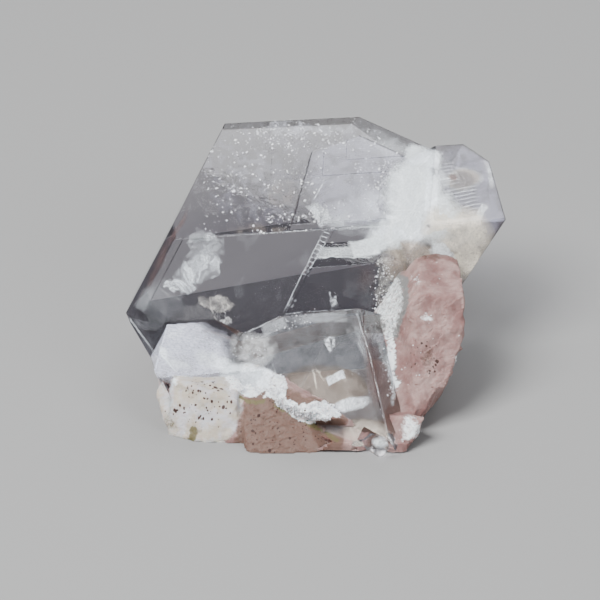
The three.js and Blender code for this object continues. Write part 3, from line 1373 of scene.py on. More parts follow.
def sheet_mesh(name: str, points: Array, gone: Array, longest: float) -> bpy.types.Mesh:
    """A sheet over a grid of points, without the faces whose corners are all gone or that are torn long.

    Args:
        name: the mesh's name.
        points: the grid of points in mm.
        gone: which of them aren't wanted.
        longest: the longest side that a face may have, in mm.

    Returns:
        The mesh in metres, with all the grid's points kept in their order.
    """
    rows, columns = points.shape[:2]
    index = np.arange(rows * columns).reshape(rows, columns)
    corners = (index[:-1, :-1], index[:-1, 1:], index[1:, 1:], index[1:, :-1])
    quads = np.stack(corners, axis=-1).reshape(-1, 4)
    flat = points.reshape(-1, 3)
    sides = np.linalg.norm(flat[quads] - flat[np.roll(quads, 1, axis=1)], axis=-1).max(axis=1)
    kept = ~gone.ravel()[quads].any(axis=1) & (sides < longest)
    mesh = bpy.data.meshes.new(name)
    mesh.from_pydata((flat * MM).tolist(), [], quads[kept].tolist())
    return mesh


def line(start: Pair, end: Pair, width: float, strength: float,
         warmth: float = 0.0) -> Patch:
    """A straight stroke between two places in the view, its width in mm.

    Args:
        start: one end, across and up the view in mm.
        end: the other end.
        width: how wide it is, in mm.
        strength: how strong it is.
        warmth: how stained it is.

    Returns:
        The stroke.
    """
    run, rise = end[0] - start[0], end[1] - start[1]
    middle = ((start[0] + end[0]) / 2.0, (start[1] + end[1]) / 2.0)
    return Patch(middle, (math.hypot(run, rise) / 2.0, width / 2.0), strength,
                 turn=math.degrees(math.atan2(rise, run)), soft=0.35, warmth=warmth, square=True)


def strokes(start: Pair, end: Pair, step: Pair, count: int,
            width: float, strength: float) -> tuple[Patch, ...]:
    """Growth lines: strokes side by side, each a step further on and of its own length and strength.

    Args:
        start: one end of the first stroke, across and up the view in mm.
        end: its other end.
        step: the way from each stroke to the next, in mm.
        count: how many there are.
        width: how wide each is, in mm.
        strength: how strong the strongest is.

    Returns:
        The strokes.
    """
    made = []
    most_cut, weakest = 0.35, 0.6
    for number in range(count):
        short = most_cut * ((number * 7) % 5) / 5.0
        first = (start[0] + step[0] * number + short, start[1] + step[1] * number)
        last = (end[0] + step[0] * number - short, end[1] + step[1] * number)
        shown = weakest + (1.0 - weakest) * ((number * 3) % 4) / 3.0
        made.append(line(first, last, width, strength * shown))
    return tuple(made)


def ladder(start: Pair, end: Pair, gap: float, rungs: int) -> tuple[Patch, ...]:
    """A healed crack: two fine walls side by side that draw together, with rungs between their upper halves.

    Args:
        start: its upper end, across and up the view in mm.
        end: its lower end.
        gap: the distance between its walls at the upper end, in mm.
        rungs: how many rungs it has.

    Returns:
        The strokes of its walls and of its rungs.
    """
    run, rise = end[0] - start[0], end[1] - start[1]
    length = math.hypot(run, rise)
    side = (-rise / length * gap, run / length * gap)
    across = (start[0] + side[0], start[1] + side[1])
    made = [line(start, end, 0.11, 0.75), line(across, end, 0.09, 0.6)]
    rung_share, lean = 0.55, 0.1
    for number in range(rungs):
        share = rung_share * (number + 0.5) / rungs
        low = (start[0] + run * share, start[1] + rise * share)
        reach = 1.0 - share
        high = (low[0] + side[0] * reach - lean * run / length,
                low[1] + side[1] * reach - lean * rise / length)
        made.append(line(low, high, 0.1, 0.9))
    return tuple(made)


VEILS = (
    Veil("milky_heart", (
        Patch((7.9, 20.4), (2.7, 4.3), 1.0, turn=-6.0, soft=0.4),
        Patch((8.9, 23.9), (1.7, 1.2), 0.95, turn=-30.0, soft=0.5),
        Patch((9.6, 19.0), (2.4, 2.4), 0.95, soft=0.5),
        Patch((6.4, 17.9), (3.0, 1.7), 0.9, turn=15.0, soft=0.6),
        Patch((10.3, 16.3), (1.5, 0.7), 0.98, turn=-45.0, soft=0.4)),
        inset=-0.1, ruffle=0.12, broken=0.3, grain=1.3, threads=0.8, sheets=2, apart=0.3,
        burst=(8.0, 19.6), level=0.5),
    Veil("heart_fringe", (
        Patch((5.2, 19.6), (3.4, 3.0), 0.62, soft=0.8),
        Patch((3.2, 19.2), (3.6, 2.4), 0.42, soft=0.9),
        Patch((6.6, 24.6), (4.0, 1.5), 0.5, turn=-28.0)),
        crystals=("main", "top_layer", "step"), inset=0.1, ruffle=0.3, broken=0.6, threads=0.8,
        seed=1.4, burst=(8.6, 19.0)),
    Veil("corner_haze", (
        Patch((12.0, 21.0), (4.4, 4.6), 0.4, soft=0.2, warmth=-1.0),
        Patch((10.2, 22.6), (2.0, 2.6), 0.5, soft=0.8, warmth=-0.6),
        line((13.9, 24.6), (14.2, 21.2), 0.5, 0.7),
        line((13.9, 20.4), (12.3, 17.2), 0.8, 0.98),
        Patch((11.9, 22.2), (2.4, 1.6), 0.62, turn=8.0, warmth=0.93)),
        crystals=("corner",), inset=0.16, ruffle=0.3, broken=0.75, grain=1.2, threads=0.85, spacing=0.06,
        fray=0.3, seed=2.5, burst=(0.0, 20.0)),
    Veil("corner_lines", (
        line((9.4, 21.9), (11.1, 22.25), 0.16, 0.9),
        Patch((11.15, 22.3), (0.42, 0.3), 1.0, turn=-20.0, warmth=1.0, soft=0.4))
        + strokes((9.6, 21.0), (13.4, 21.7), (0.03, -0.3), 8, 0.12, 0.6)
        + strokes((9.4, 23.2), (11.4, 23.55), (0.1, -0.27), 7, 0.11, 0.5),
        crystals=("corner",), inset=0.06, broken=0.45, grain=0.4, spacing=0.035, fray=0.08, seed=2.7),
    Veil("warm_milk", (
        Patch((11.4, 18.0), (3.2, 2.4), 0.95, turn=-10.0, warmth=0.42, soft=0.5),
        Patch((8.2, 16.2), (3.6, 1.2), 0.92, turn=-8.0, warmth=0.75, soft=0.5),
        Patch((6.6, 15.0), (1.3, 1.3), 0.85, warmth=0.8, soft=0.6),
        Patch((12.0, 15.6), (2.2, 1.6), 0.9, turn=50.0, warmth=0.55, soft=0.5)),
        inset=-0.06, ruffle=0.1, broken=0.3, grain=0.7, threads=0.3, spacing=0.07, fray=0.6, seed=3.5,
        level=0.35),
    Veil("top_haze", (
        Patch((-2.0, 22.6), (9.5, 5.6), 0.08, soft=0.3, warmth=-1.0),
        Patch((-0.6, 26.2), (6.5, 1.0), 0.3, soft=0.9, warmth=-0.5),
        Patch((-5.2, 22.6), (2.2, 3.2), 0.14, warmth=-0.6),
        Patch((-2.2, 20.8), (2.4, 1.2), 0.2, warmth=0.85),
        Patch((-3.4, 18.1), (5.0, 0.5), 0.2, turn=3.0, warmth=0.8)),
        crystals=("main",), inset=0.08, broken=0.9, grain=0.4, seed=2.0),
    Veil("layer_haze", (
        Patch((5.0, 22.2), (6.4, 5.6), 0.28, soft=0.3, warmth=-0.8),
        Patch((0.6, 19.4), (1.6, 0.7), 0.45, turn=-50.0),
        Patch((1.8, 18.4), (1.8, 0.5), 0.6, turn=-8.0),
        line((-0.6, 20.2), (0.7, 18.1), 0.7, 0.6)),
        crystals=("top_layer",), inset=0.08, broken=0.6, grain=0.5, seed=2.2),
    Veil("middle_plate", (
        Patch((4.0, 16.6), (1.3, 0.85), 1.0, turn=8.0, soft=0.3, square=True),
        Patch((5.2, 17.0), (0.9, 1.0), 0.9, turn=20.0, soft=0.5),
        Patch((2.2, 16.3), (2.4, 0.55), 0.6, turn=4.0, soft=0.5, square=True),
        line((-0.2, 15.85), (4.9, 15.75), 0.14, 0.8)),
        inset=-0.03, broken=0.25, grain=0.8, spacing=0.05, fray=0.25, seed=3.0, level=0.25),
    Veil("left_fracture", (
        Patch((-9.2, 14.8), (2.0, 1.2), 1.0, turn=30.0, soft=0.3),
        Patch((-10.5, 13.5), (1.5, 0.45), 1.0, turn=-8.0, soft=0.3),
        Patch((-8.9, 16.8), (1.8, 1.3), 0.5, turn=-20.0, soft=0.5)),
        crystals=("main",), inset=0.2, ruffle=0.3, broken=0.9, grain=0.5, threads=0.9, spacing=0.04,
        fray=1.1, seed=4.0, burst=(-9.4, 12.4), sheets=2, apart=0.25),
    Veil("lower_fracture", (
        Patch((-7.8, 12.0), (1.9, 0.6), turn=-12.0, warmth=0.3, soft=0.4),
        Patch((-7.6, 10.5), (1.2, 0.4), 1.0, turn=20.0, warmth=0.2, soft=0.3),
        line((-8.6, 12.4), (-7.7, 10.4), 0.16, 0.9, 0.3),
        line((-7.4, 12.6), (-7.0, 10.6), 0.12, 0.8, 0.2),
        line((-9.6, 12.2), (-7.2, 12.6), 0.14, 0.8, 0.3),
        line((-12.0, 13.2), (-10.6, 12.0), 0.2, 0.4)),
        crystals=("main",), inset=0.25, ruffle=0.3, broken=0.85, grain=0.4, threads=0.7, spacing=0.045,
        fray=0.6, seed=4.4),
    Veil("window_haze_and_sheen", (
        # An even faint veil over the whole window: a painted sheen; the two patches after it are cloudy
        # streaks.
        Patch((-4.0, 14.4), (13.0, 4.6), 0.05, soft=0.3),
        Patch((-12.4, 12.2), (3.2, 3.2), 0.2, turn=40.0, soft=0.8),
        Patch((-9.8, 11.2), (3.4, 1.8), 0.16, turn=-10.0, warmth=0.2)),
        crystals=("main",), inset=0.5, ruffle=0.2, broken=0.8, grain=1.4, threads=0.3, spacing=0.1,
        seed=4.7),
    Veil("ledge_milk", (
        Patch((-10.4, 8.4), (4.6, 3.2), 0.86, turn=-15.0, soft=0.4, warmth=-0.55),
        Patch((-8.0, 7.5), (2.6, 1.4), 0.95, turn=-30.0, warmth=-0.1),
        Patch((-11.2, 9.7), (1.6, 0.8), 0.9, turn=-5.0, soft=0.9, warmth=-0.2),
        Patch((-10.8, 7.4), (2.4, 0.8), 0.95, turn=-25.0, warmth=-0.2),
        Patch((-12.2, 8.4), (1.5, 0.5), 0.98, turn=-50.0)),
        crystals=("ledge",), inset=0.1, ruffle=0.1, broken=0.3, grain=1.4, threads=0.1, spacing=0.06,
        fray=0.5, seed=5.0),
    Veil("pearl", (
        Patch((-5.2, 6.2), (2.6, 1.3), 1.0, turn=-14.0, soft=0.25),),
        crystals=("ledge", "front"), inset=0.08, ruffle=0.2, broken=0.2, grain=0.6, threads=0.5,
        spacing=0.05, fray=0.3, seed=5.5),
    Veil("grey_grain", (
        Patch((-5.0, 8.5), (2.3, 1.8), 0.42, warmth=0.15, soft=0.5),
        line((-5.7, 7.35), (-4.4, 7.15), 0.16, 0.9, 0.3)),
        crystals=("ledge", "front"), inset=0.06, ruffle=0.05, broken=0.8, grain=0.5, spacing=0.05, fray=0.3,
        seed=5.8),
    Veil("front_veil", (
        Patch((0.6, 5.4), (4.0, 2.3), 0.5, warmth=0.74, soft=0.5),
        Patch((1.0, 7.0), (6.0, 7.0), 0.13, soft=0.2),
        # Three faint wide strips along the front crystal's upper and right edges: painted highlight.
        line((-4.4, 9.8), (-2.2, 10.9), 1.1, 0.3),
        line((-2.4, 10.9), (3.0, 11.2), 0.9, 0.3),
        line((3.3, 11.0), (4.2, 7.4), 1.3, 0.28),
        Patch((1.5, 6.35), (0.85, 0.42), 1.0, turn=25.0, soft=0.25, square=True),
        line((-0.3, 7.2), (0.1, 5.4), 0.16, 0.8, 0.4),
        line((-0.1, 7.2), (0.7, 6.0), 0.12, 0.7, 0.4),
        Patch((3.8, 1.9), (2.4, 1.6), 0.55, warmth=0.45),
        Patch((2.7, 4.2), (2.0, 0.8), 0.95, turn=14.0, soft=0.5),
        Patch((-1.9, 3.9), (0.4, 0.45), 0.85)),
        crystals=("front",), inset=0.16, ruffle=0.3, grain=0.7, threads=0.4, spacing=0.05,
        fray=0.3, seed=6.0),
    # White lines along the crystals' edges: painted highlights.
    Veil("painted_edge_highlights", (
        line((-8.2, 17.45), (0.8, 18.1), 0.1, 0.6),
        line((-5.76, 9.68), (-2.56, 11.2), 0.14, 0.5),
        line((-2.56, 11.2), (-0.88, 11.45), 0.14, 0.45),
        line((-0.88, 11.45), (3.2, 11.68), 0.14, 0.5),
        line((3.2, 11.68), (4.64, 6.72), 0.14, 0.5),
        line((4.64, 6.72), (5.76, 1.6), 0.12, 0.45),
        line((-3.44, 7.6), (-2.44, 4.4), 0.14, 0.6),
        line((-0.16, 20.4), (0.72, 22.0), 0.14, 0.75),
        line((-15.0, 11.3), (-12.2, 7.4), 0.2, 0.5),
        line((-12.4, 8.4), (-10.9, 6.6), 0.2, 0.6)),
        inset=0.04, broken=0.6, grain=0.5, spacing=0.045, fray=0.06, seed=6.5),
    Veil("healed_crack", ladder((0.75, 18.0), (-2.6, 11.2), 0.55, 11),
         broken=0.2, grain=0.3, spacing=0.03, fray=0.08, seed=6.8),
    Veil("bead_milk", (
        Patch((5.0, 1.3), (0.8, 0.7), 0.75),),
        crystals=("bead", "front"), inset=0.05, broken=0.4, grain=0.4, spacing=0.04, fray=0.2, seed=6.9),
    Veil("small_plume", (
        line((1.4, 12.0), (1.2, 13.1), 0.3, 0.9),
        line((1.6, 12.0), (1.9, 12.8), 0.3, 0.9),
        Patch((1.5, 12.1), (0.5, 0.5), 0.9),
        Patch((1.0, 8.9), (0.5, 0.8), 0.85, soft=0.4)),
        inset=0.1, ruffle=0.2, broken=1.0, grain=0.3, threads=0.8, spacing=0.035, fray=0.5, seed=7.0),
    Veil("rust_and_groove_shade", (
        Patch((-12.0, 16.2), (5.4, 0.34), 0.75, turn=61.5, warmth=1.0),
        # A dark patch in the groove beside the front crystal: painted shade.
        Patch((4.4, 7.2), (5.4, 0.7), 0.85, turn=-80.0, warmth=0.97),
        Patch((4.1, 14.0), (1.0, 1.5), 0.4, warmth=0.95, soft=1.0)),
        inset=0.16, fray=0.3, broken=0.8, grain=0.7, threads=0.4, spacing=0.07, seed=8.0),
    Veil("white_band", (
        Patch((5.6, 13.0), (4.6, 1.1), 0.3, turn=92.0, warmth=0.3, soft=0.6),
        Patch((5.9, 6.0), (3.2, 0.3), 0.85, turn=-84.0)),
        inset=-0.02, broken=0.9, grain=0.3, spacing=0.05, fray=0.5, seed=9.0),
)


@dataclass
class GrowthPits:
    """Tiny frosted pits and crystals on the faces: in rows and loose clusters, and along one grainy band.

    Attributes:
        finishes: the materials.
        name: the piece's name.
        tries: how many places are drawn.
        region: the part of the view that they are drawn in: from and to across, from and to up, in mm.
        size: the smallest and the largest, in mm.
        common: how common they are everywhere.
        clusters: where there are more.
        top_only: whether they keep to the upper cube face.
        seed: the seed of their places and sizes.
        level: how well a face lines up with the upper cube face to count as one with it.
        fray: how far the outlines of the clusters stray, in mm.
        rarity: how rare large ones are.
        gather: the height of the noise where they start to gather and fully do, and its width in mm.
        spread: what multiplies how common they are where they are sparse, and what the noise adds to that.
    """

    finishes: Finishes
    name: str
    tries: int
    region: tuple[float, float, float, float]
    size: Pair
    common: float
    clusters: tuple[Patch, ...]
    top_only: bool
    seed: int
    level: float = 0.98
    fray: float = 0.6
    rarity: float = 4.0
    gather: Triple = (-0.2, 0.4, 0.9)
    spread: Pair = (0.4, 1.2)

    def build(self) -> bpy.types.Object:
        """Scatters small octahedra over the face and keeps those that fall where pits are common.

        Returns:
            The finished piece.
        """
        draw = np.random.default_rng(self.seed)
        across = draw.uniform(self.region[0], self.region[1], self.tries)
        up = draw.uniform(self.region[2], self.region[3], self.tries)
        seen = seen_surface(across, up)
        top = LATTICE.bearing(*CUBE_FACE)
        common = self.common + strongest(self.clusters, *ragged(across, up, self.fray, 3.0))
        clouds = layered(flat_points(across, up, 0.0), self.gather[2], 4.0)
        common = common * (self.spread[0] + self.spread[1] * smooth_step(*self.gather[:2], clouds))
        facing = (seen.normal @ top > self.level) | (not self.top_only)
        kept = seen.on() & facing & (draw.random(self.tries) < common)
        places = SIGHT.point(across[kept], up[kept], seen.near[kept])
        sizes = drawn_sizes(draw, self.size, len(places), self.rarity)
        thing = octahedra(self.name, (1.0, 0.8, 0.5), places, sizes, self.seed)
        return finish_piece(thing, self.finishes.frost, "clear_crystals")

    @classmethod
    def both(cls, finishes: Finishes) -> "tuple[GrowthPits, GrowthPits]":
        """The pits of the upper face and the grains of the band beside the pink mass.

        Args:
            finishes: the materials.

        Returns:
            Both pieces' builders.
        """
        rows = (
            Patch((-2.4, 19.1), (4.2, 0.5), 0.55, turn=3.0),
            Patch((-6.4, 21.3), (1.3, 0.6), 0.6, turn=-15.0),
            Patch((-3.6, 21.7), (1.1, 0.6), 0.6),
            Patch((-3.8, 26.2), (1.2, 0.7), 0.7, turn=35.0),
            Patch((0.8, 19.0), (1.6, 1.0), 0.6, turn=-40.0),
            Patch((-1.0, 25.4), (4.6, 1.4), 0.25),
            Patch((4.6, 22.6), (2.6, 2.0), 0.4),
            line((-0.7, 23.2), (-1.3, 21.6), 0.4, 0.8),
            line((-1.3, 21.6), (-0.5, 19.9), 0.45, 0.85),
            line((-0.5, 19.9), (0.7, 18.1), 0.6, 0.9))
        band = (
            Patch((5.6, 13.2), (4.4, 1.2), 0.9, turn=92.0, soft=0.8),
            Patch((5.2, 16.6), (1.2, 0.8), 0.5),
            line((5.4, 9.4), (5.8, 4.6), 0.5, 0.8),
            Patch((-5.0, 8.4), (2.0, 1.5), 0.35, soft=0.9),
            Patch((-1.6, 10.6), (2.4, 0.7), 0.2, turn=20.0))
        return (
            cls(finishes, "growth_pits", tries=11000, region=(-9.0, 9.0, 16.5, 27.6), size=(0.055, 0.17),
                common=0.085, clusters=rows, top_only=True, seed=11),
            cls(finishes, "band_grains", tries=9000, region=(-8.0, 7.6, 3.6, 17.6), size=(0.05, 0.14),
                common=0.0, clusters=band, top_only=False, seed=12))


# ---------------------------------------------------------------- the pink mass


@dataclass
class PinkMass:
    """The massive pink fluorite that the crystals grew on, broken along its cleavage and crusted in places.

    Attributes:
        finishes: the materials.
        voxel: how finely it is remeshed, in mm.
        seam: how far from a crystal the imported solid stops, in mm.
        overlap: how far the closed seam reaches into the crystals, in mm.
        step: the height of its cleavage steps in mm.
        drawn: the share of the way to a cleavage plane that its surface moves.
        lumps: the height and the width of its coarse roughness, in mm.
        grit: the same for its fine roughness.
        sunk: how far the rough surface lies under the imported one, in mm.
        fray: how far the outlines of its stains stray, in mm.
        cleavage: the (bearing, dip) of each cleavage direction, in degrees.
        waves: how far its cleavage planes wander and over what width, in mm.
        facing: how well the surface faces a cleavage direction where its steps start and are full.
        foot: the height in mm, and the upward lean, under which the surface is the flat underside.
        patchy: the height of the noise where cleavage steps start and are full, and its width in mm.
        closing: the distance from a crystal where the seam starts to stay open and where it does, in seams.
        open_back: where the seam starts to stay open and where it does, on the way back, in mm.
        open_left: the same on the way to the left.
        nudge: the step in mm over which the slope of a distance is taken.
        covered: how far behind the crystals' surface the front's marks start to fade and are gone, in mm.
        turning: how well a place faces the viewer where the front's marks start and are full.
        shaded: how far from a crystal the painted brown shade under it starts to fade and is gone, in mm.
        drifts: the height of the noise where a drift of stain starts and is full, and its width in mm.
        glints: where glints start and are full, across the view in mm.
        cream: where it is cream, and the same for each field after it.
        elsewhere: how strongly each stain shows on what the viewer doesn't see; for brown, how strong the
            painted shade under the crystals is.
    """

    finishes: Finishes
    voxel: float = 0.15
    seam: float = 0.3
    overlap: float = 0.1
    step: float = 0.4
    drawn: float = 0.3
    lumps: Pair = (0.16, 1.5)
    grit: Pair = (0.07, 0.45)
    sunk: float = 0.04
    waves: Pair = (0.9, 2.2)
    facing: Pair = (0.45, 0.85)
    foot: Pair = (0.2, -0.6)
    patchy: Triple = (-0.15, 0.35, 4.5)
    closing: Pair = (1.7, 2.8)
    open_back: Pair = (-5.0, -3.0)
    open_left: Pair = (-6.0, -5.0)
    nudge: float = 0.01
    covered: Pair = (1.2, 2.4)
    turning: Pair = (-0.35, 0.15)
    shaded: Pair = (0.5, 1.2)
    drifts: Triple = (0.15, 0.6, 4.0)
    glints: Pair = (2.0, 6.0)
    fray: float = 0.7
    cleavage: tuple[Pair, ...] = ((0, 90), (30, -19.5), (150, -19.5), (270, -19.5))
    cream: tuple[Patch, ...] = (
        Patch((-9.8, 4.2), (5.0, 4.6), 1.0, soft=0.35),
        Patch((-2.4, 0.45), (7.0, 0.5)))
    # The clay colour on the undercut front wall is its brown-pink, deepened as painted shade.
    clay: tuple[Patch, ...] = (Patch((-1.8, 2.3), (5.0, 3.6), 1.0, turn=-14.0, soft=0.35, square=True),)
    brown: tuple[Patch, ...] = (
        # Painted shade: the dark brown groove beside the front crystal.
        Patch((4.3, 6.2), (5.4, 0.8), 0.95, turn=-78.0),
        # The upper edge of the mass: its own brownish grey, darkened as painted shade.
        Patch((8.8, 15.9), (3.8, 0.9), 0.5, turn=5.0),
        Patch((8.8, 7.8), (0.9, 1.6), 0.5))
    olive: tuple[Patch, ...] = (
        Patch((-9.8, 2.0), (1.0, 1.2), 0.9),
        Patch((-11.6, 2.6), (0.9, 1.0), 0.5),
        # These two olive lines under the white crust are a painted shadow.
        line((-6.4, 4.9), (-3.6, 4.3), 0.5, 0.7),
        line((-3.8, 4.3), (2.4, 1.2), 0.5, 0.7))
    grey: tuple[Patch, ...] = (
        Patch((5.9, 12.8), (4.6, 1.8), 0.95, turn=92.0, soft=0.4),
        Patch((6.2, 7.0), (2.8, 0.5), 0.7, turn=-84.0))
    frost: tuple[Patch, ...] = (
        Patch((0.9, 3.9), (3.4, 1.0), 1.0, turn=8.0, soft=0.5),
        Patch((-1.2, 3.5), (1.8, 0.8), 1.0, turn=-25.0, soft=0.5),
        Patch((-5.2, 6.0), (2.6, 1.3), 1.0, turn=-14.0, soft=0.5),
        line((-4.0, 5.2), (-1.0, 3.6), 1.2, 1.0),
        line((-3.4, 6.9), (-2.3, 4.6), 1.0, 0.9),
        # A painted highlight: the soft white spot on the pink mass.
        Patch((8.8, 11.2), (1.1, 0.8), 0.62, soft=1.0),
        Patch((8.0, 14.2), (1.8, 1.2), 0.42, soft=1.0),
        Patch((5.9, 12.4), (4.6, 1.5), 0.52, turn=92.0, soft=0.6),
        line((5.7, 10.6), (6.2, 4.6), 0.9, 0.95),
        Patch((-11.2, 6.2), (1.6, 0.6), 0.6, turn=-40.0),
        Patch((11.4, 7.4), (0.6, 0.6), 0.95),
        Patch((7.4, 2.4), (1.6, 1.2), 0.6, turn=30.0))
    speckled: tuple[Patch, ...] = (
        Patch((-8.2, 4.4), (3.2, 3.2), 1.0, turn=-25.0, soft=0.6),
        Patch((-11.0, 3.6), (2.0, 1.2)),
        Patch((-1.8, 2.0), (5.6, 2.8), 0.85, soft=0.4),
        Patch((8.8, 7.8), (1.6, 2.2), 1.0, soft=0.5))
    wet: tuple[Patch, ...] = (Patch((-11.4, 2.2), (1.4, 1.7), 1.0, soft=0.5),)
    elsewhere: tuple[tuple[str, float], ...] = (
        ("cream", 0.6), ("clay", 0.6), ("brown", 0.85), ("olive", 0.0), ("grey", 0.0), ("frost", 0.0),
        ("speckled", 0.6), ("wet", 0.0))

    def build(self) -> bpy.types.Object:
        """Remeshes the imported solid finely, breaks its surface, and closes the seam to the crystals.

        Returns:
            The finished piece.
        """
        thing = merged_copy("pink_mass", "pink_matrix")
        fine = thing.modifiers.new("fine", "REMESH")
        fine.mode = "VOXEL"
        fine.voxel_size = self.voxel
        bake(thing)
        mesh = thing.data
        points, normals = vectors(mesh.vertices, "co"), vectors(mesh.vertex_normals, "vector")
        moved = self.close_seam(points, self.broken(points, normals))
        moved[:, 2] = np.maximum(moved[:, 2], 0.0)
        mesh.vertices.foreach_set("co", (moved * MM).ravel())
        mesh.update()
        self.mark(mesh, moved, normals)
        return finish_piece(thing, self.finishes.pink, "pink_matrix")

    def broken(self, points: Array, normals: Array) -> Array:
        """The surface with its cleavage steps and its grain.

        Each place moves towards the nearest of the parallel planes of each cleavage direction, the more the
        better it faces that direction, and then in or out by noise. The flat underside stays as it is.

        Args:
            points: the surface as packed.
            normals: its outward directions.

        Returns:
            The moved points.
        """
        moved = points.copy()
        for bearing, dip in self.cleavage:
            plane = LATTICE.bearing(bearing, dip)
            wave = self.waves[0] * layered(points, self.waves[1], bearing + 1.0)
            level = (points @ plane + wave) / self.step
            stepped = smooth_step(*self.facing, np.abs(normals @ plane))
            stepped *= smooth_step(*self.patchy[:2], layered(points, self.patchy[2], bearing + 6.0))
            moved -= (self.drawn * self.step * stepped * (level - np.round(level)))[:, None] * plane
        lumps = self.lumps[0] * layered(points, self.lumps[1], 2.0)
        grit = self.grit[0] * layered(points, self.grit[1], 3.0, 3)
        moved += (lumps + grit - self.sunk)[:, None] * normals
        underside = (points[:, 2] < self.foot[0]) & (normals[:, 2] < self.foot[1])
        moved[underside] = points[underside]
        return moved

    def close_seam(self, points: Array, moved: Array) -> Array:
        """The surface drawn up to the crystals and just into them, wherever it lay against one.

        The direction to the crystals is the slope of the distance to them, from small steps either way. A
        place that lay within the seam follows it all the way, and one further out the less the further.
        Under the main crystal, further back than the front crystals, the seam stays open.

        Args:
            points: the surface as packed.
            moved: the same points after the surface was broken.

        Returns:
            The points with the seam closed.
        """
        gap = outside_crystals(points)
        steps = self.nudge * np.eye(3)
        slope = np.stack([
            outside_crystals(points + step) - outside_crystals(points - step)
            for step in steps], axis=-1) / (2.0 * self.nudge)
        start, end = (self.seam * share for share in self.closing)
        back, left = smooth_step(*self.open_back, points[:, 1]), smooth_step(*self.open_left, -points[:, 0])
        share = ((1.0 - smooth_step(start, end, gap)) * (1.0 - back * left))[:, None]
        against = points - (gap + self.overlap)[:, None] * slope
        return against * share + moved * (1.0 - share)

    def mark(self, mesh: bpy.types.Mesh, points: Array, normals: Array) -> None:
        """Stores the strength of each stain, and of the painted shade and highlight, at each vertex.

        The front's marks fade out round the side and behind the crystals. The stone just under the crystals
        is painted brown as shade, and the rest of what is turned away has some stains in drifts of noise.

        Args:
            mesh: the mesh of the mass.
            points: its points in mm.
            normals: its outward directions.
        """
        seen = seen_surface(*SIGHT.split(points))
        behind = np.where(seen.which >= 0, seen.near - SIGHT.near(points), 0.0)
        hidden = smooth_step(*self.covered, behind)
        across, up = ragged(*SIGHT.split(points), self.fray, 5.0)
        front = smooth_step(*self.turning, normals @ SIGHT.towards) * (1.0 - hidden)
        under = hidden * (1.0 - smooth_step(*self.shaded, outside_crystals(points)))
        for name, strength in self.elsewhere:
            share = strongest(getattr(self, name), across, up) * front
            clouds = layered(points, self.drifts[2], float(len(name)))
            drift = smooth_step(*self.drifts[:2], clouds) * (1.0 - front)
            # Brown spreads only under the crystals here: painted shade.
            spread = under * under if name == "brown" else (1.0 - under) * drift
            add_values(mesh, name, np.clip(share + strength * spread, 0.0, 1.0))
        add_values(mesh, "glint", smooth_step(*self.glints, across))


@dataclass
class CrustGrains:
    """Small frosty crystals that crust the pink mass where it is white.

    Attributes:
        finishes: the materials.
        count: how many there are.
        size: the smallest and the largest, in mm.
        bare: the strength of the frost up to which the mass stays bare.
        buried: how far inside a crystal their places may lie, in mm.
        jitter: how far they stray from the points of the mass, in mm.
        rarity: how rare large ones are.
        stunted: the share of their size that they reach where there is little frost.
        frosty: the strength of the frost where they start to grow larger and where they are full.
        seed: the seed of their places and sizes.
    """

    finishes: Finishes
    count: int = 2600
    size: Pair = (0.05, 0.2)
    bare: float = 0.25
    buried: float = 0.15
    jitter: float = 0.06
    rarity: float = 2.5
    stunted: float = 0.4
    frosty: Pair = (0.5, 0.9)
    seed: int = 23

    def build(self, mass: bpy.types.Object) -> bpy.types.Object:
        """Sets a small octahedron on points of the mass, drawn by how frosty it is there.

        Args:
            mass: the finished pink mass.

        Returns:
            The finished piece.
        """
        draw = np.random.default_rng(self.seed)
        points = vectors(mass.data.vertices, "co") / MM
        share = np.empty(len(points), np.float32)
        mass.data.attributes["frost"].data.foreach_get("value", share)
        weight = np.clip(share.astype(float) - self.bare, 0.0, 1.0)
        weight *= outside_crystals(points) > -self.buried
        chosen = draw.choice(len(points), self.count, p=weight / weight.sum())
        sizes = drawn_sizes(draw, self.size, self.count, self.rarity)
        sizes *= self.stunted + (1.0 - self.stunted) * smooth_step(*self.frosty, share[chosen].astype(float))
        places = points[chosen] + draw.normal(0.0, self.jitter, (self.count, 3))
        places[:, 2] = np.maximum(places[:, 2], sizes)
        thing = octahedra("crust_grains", (1.0, 0.9, 0.75), places, sizes, self.seed)
        return finish_piece(thing, self.finishes.frost, "pink_matrix")


# ---------------------------------------------------------------- the studio


def aimed(name: str, data: bpy.types.ID, place: Triple, back: Triple) -> bpy.types.Object:
    """A lamp or a camera in a place in metres, its back turned to the direction given.

    Args:
        name: its name.
        data: the lamp or the camera.
        place: where it stands.
        back: the direction.

    Returns:
        The object.
    """
    thing = new_object(name, data)
    thing.location = place
    thing.rotation_euler = Vector(back).to_track_quat("Z", "Y").to_euler()
    return thing


@dataclass(frozen=True)
class Lamp:
    """A soft square lamp: where it stands, how wide it is in metres, and its power and tint."""

    name: str
    place: Triple
    width: float
    power: float
    tint: Triple = (1.0, 1.0, 1.0)


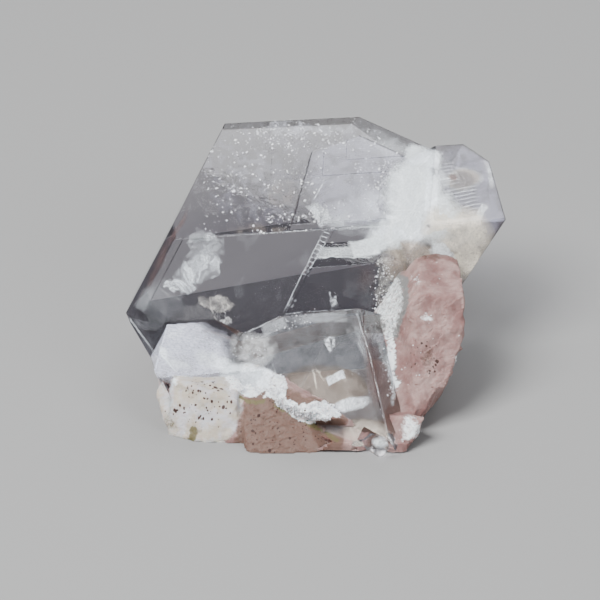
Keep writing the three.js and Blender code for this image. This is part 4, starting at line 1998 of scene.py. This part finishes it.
@dataclass
class Studio:
    """A pale floor, soft lamps and the camera.

    Attributes:
        finishes: the materials.
        target: the place that the camera looks at, in mm.
        distance: how far from it the camera stands, in mm.
        lens: the focal length in mm.
        sensor: the width of the camera's sensor in mm.
        floor_width: how wide the floor is, in metres.
        surround: the light of the room around.
        lamps: the lamps.
    """

    finishes: Finishes
    target: Triple = (-1.32, -1.51, 6.25)
    distance: float = 500.0
    lens: float = 375.0
    sensor: float = 36.0
    floor_width: float = 3.0
    surround: Triple = (0.2, 0.205, 0.215)
    lamps: tuple[Lamp, ...] = (
        Lamp("key_lamp", (-0.22, -0.2, 0.42), 0.26, 6.4),
        Lamp("fill_lamp", (0.35, -0.3, 0.25), 0.3, 1.6, (0.95, 0.97, 1.0)),
        Lamp("back_lamp", (0.1, 0.4, 0.35), 0.3, 1.5, (0.97, 0.98, 1.0)))

    def build(self) -> None:
        """Sets the floor, the surroundings, the lamps and the camera."""
        self.floor()
        world = bpy.data.worlds.new("soft_room")
        world.use_nodes = True
        world.node_tree.nodes["Background"].inputs[0].default_value = (*self.surround, 1.0)
        bpy.context.scene.world = world
        for lamp in self.lamps:
            self.lamp(lamp)
        self.camera()

    def floor(self) -> None:
        """A wide flat card at the height that the specimen rests on."""
        half = self.floor_width / 2
        mesh = bpy.data.meshes.new("floor")
        corners = [(-half, -half, 0.0), (half, -half, 0.0), (half, half, 0.0), (-half, half, 0.0)]
        mesh.from_pydata(corners, [], [(0, 1, 2, 3)])
        mesh.materials.append(self.finishes.floor)
        new_object("floor", mesh)

    def lamp(self, lamp: Lamp) -> None:
        """A square area lamp aimed at the specimen.

        Args:
            lamp: where it stands, and what it is like.
        """
        data = bpy.data.lights.new(lamp.name, "AREA")
        data.size = lamp.width
        data.energy = lamp.power
        data.color = lamp.tint
        aimed(lamp.name, data, lamp.place, lamp.place).visible_transmission = False

    def camera(self) -> None:
        """A long lens at the elevation of the line of sight."""
        data = bpy.data.cameras.new("camera")
        data.lens = self.lens
        data.sensor_width = self.sensor
        data.clip_end = 10.0
        place = (np.array(self.target) + self.distance * SIGHT.towards) * MM
        bpy.context.scene.camera = aimed("camera", data, place, SIGHT.towards)


def main() -> None:
    """Builds the specimen and the studio."""
    logging.basicConfig(level=logging.INFO, format="%(message)s")
    finishes = Finishes.build()
    ClearCrystals(finishes).build()
    for veil in VEILS:
        veil.build(finishes.veil)
    for pits in GrowthPits.both(finishes):
        pits.build()
    mass = PinkMass(finishes).build()
    CrustGrains(finishes).build(mass)
    Studio(finishes).build()


if __name__ == "__main__":
    main()
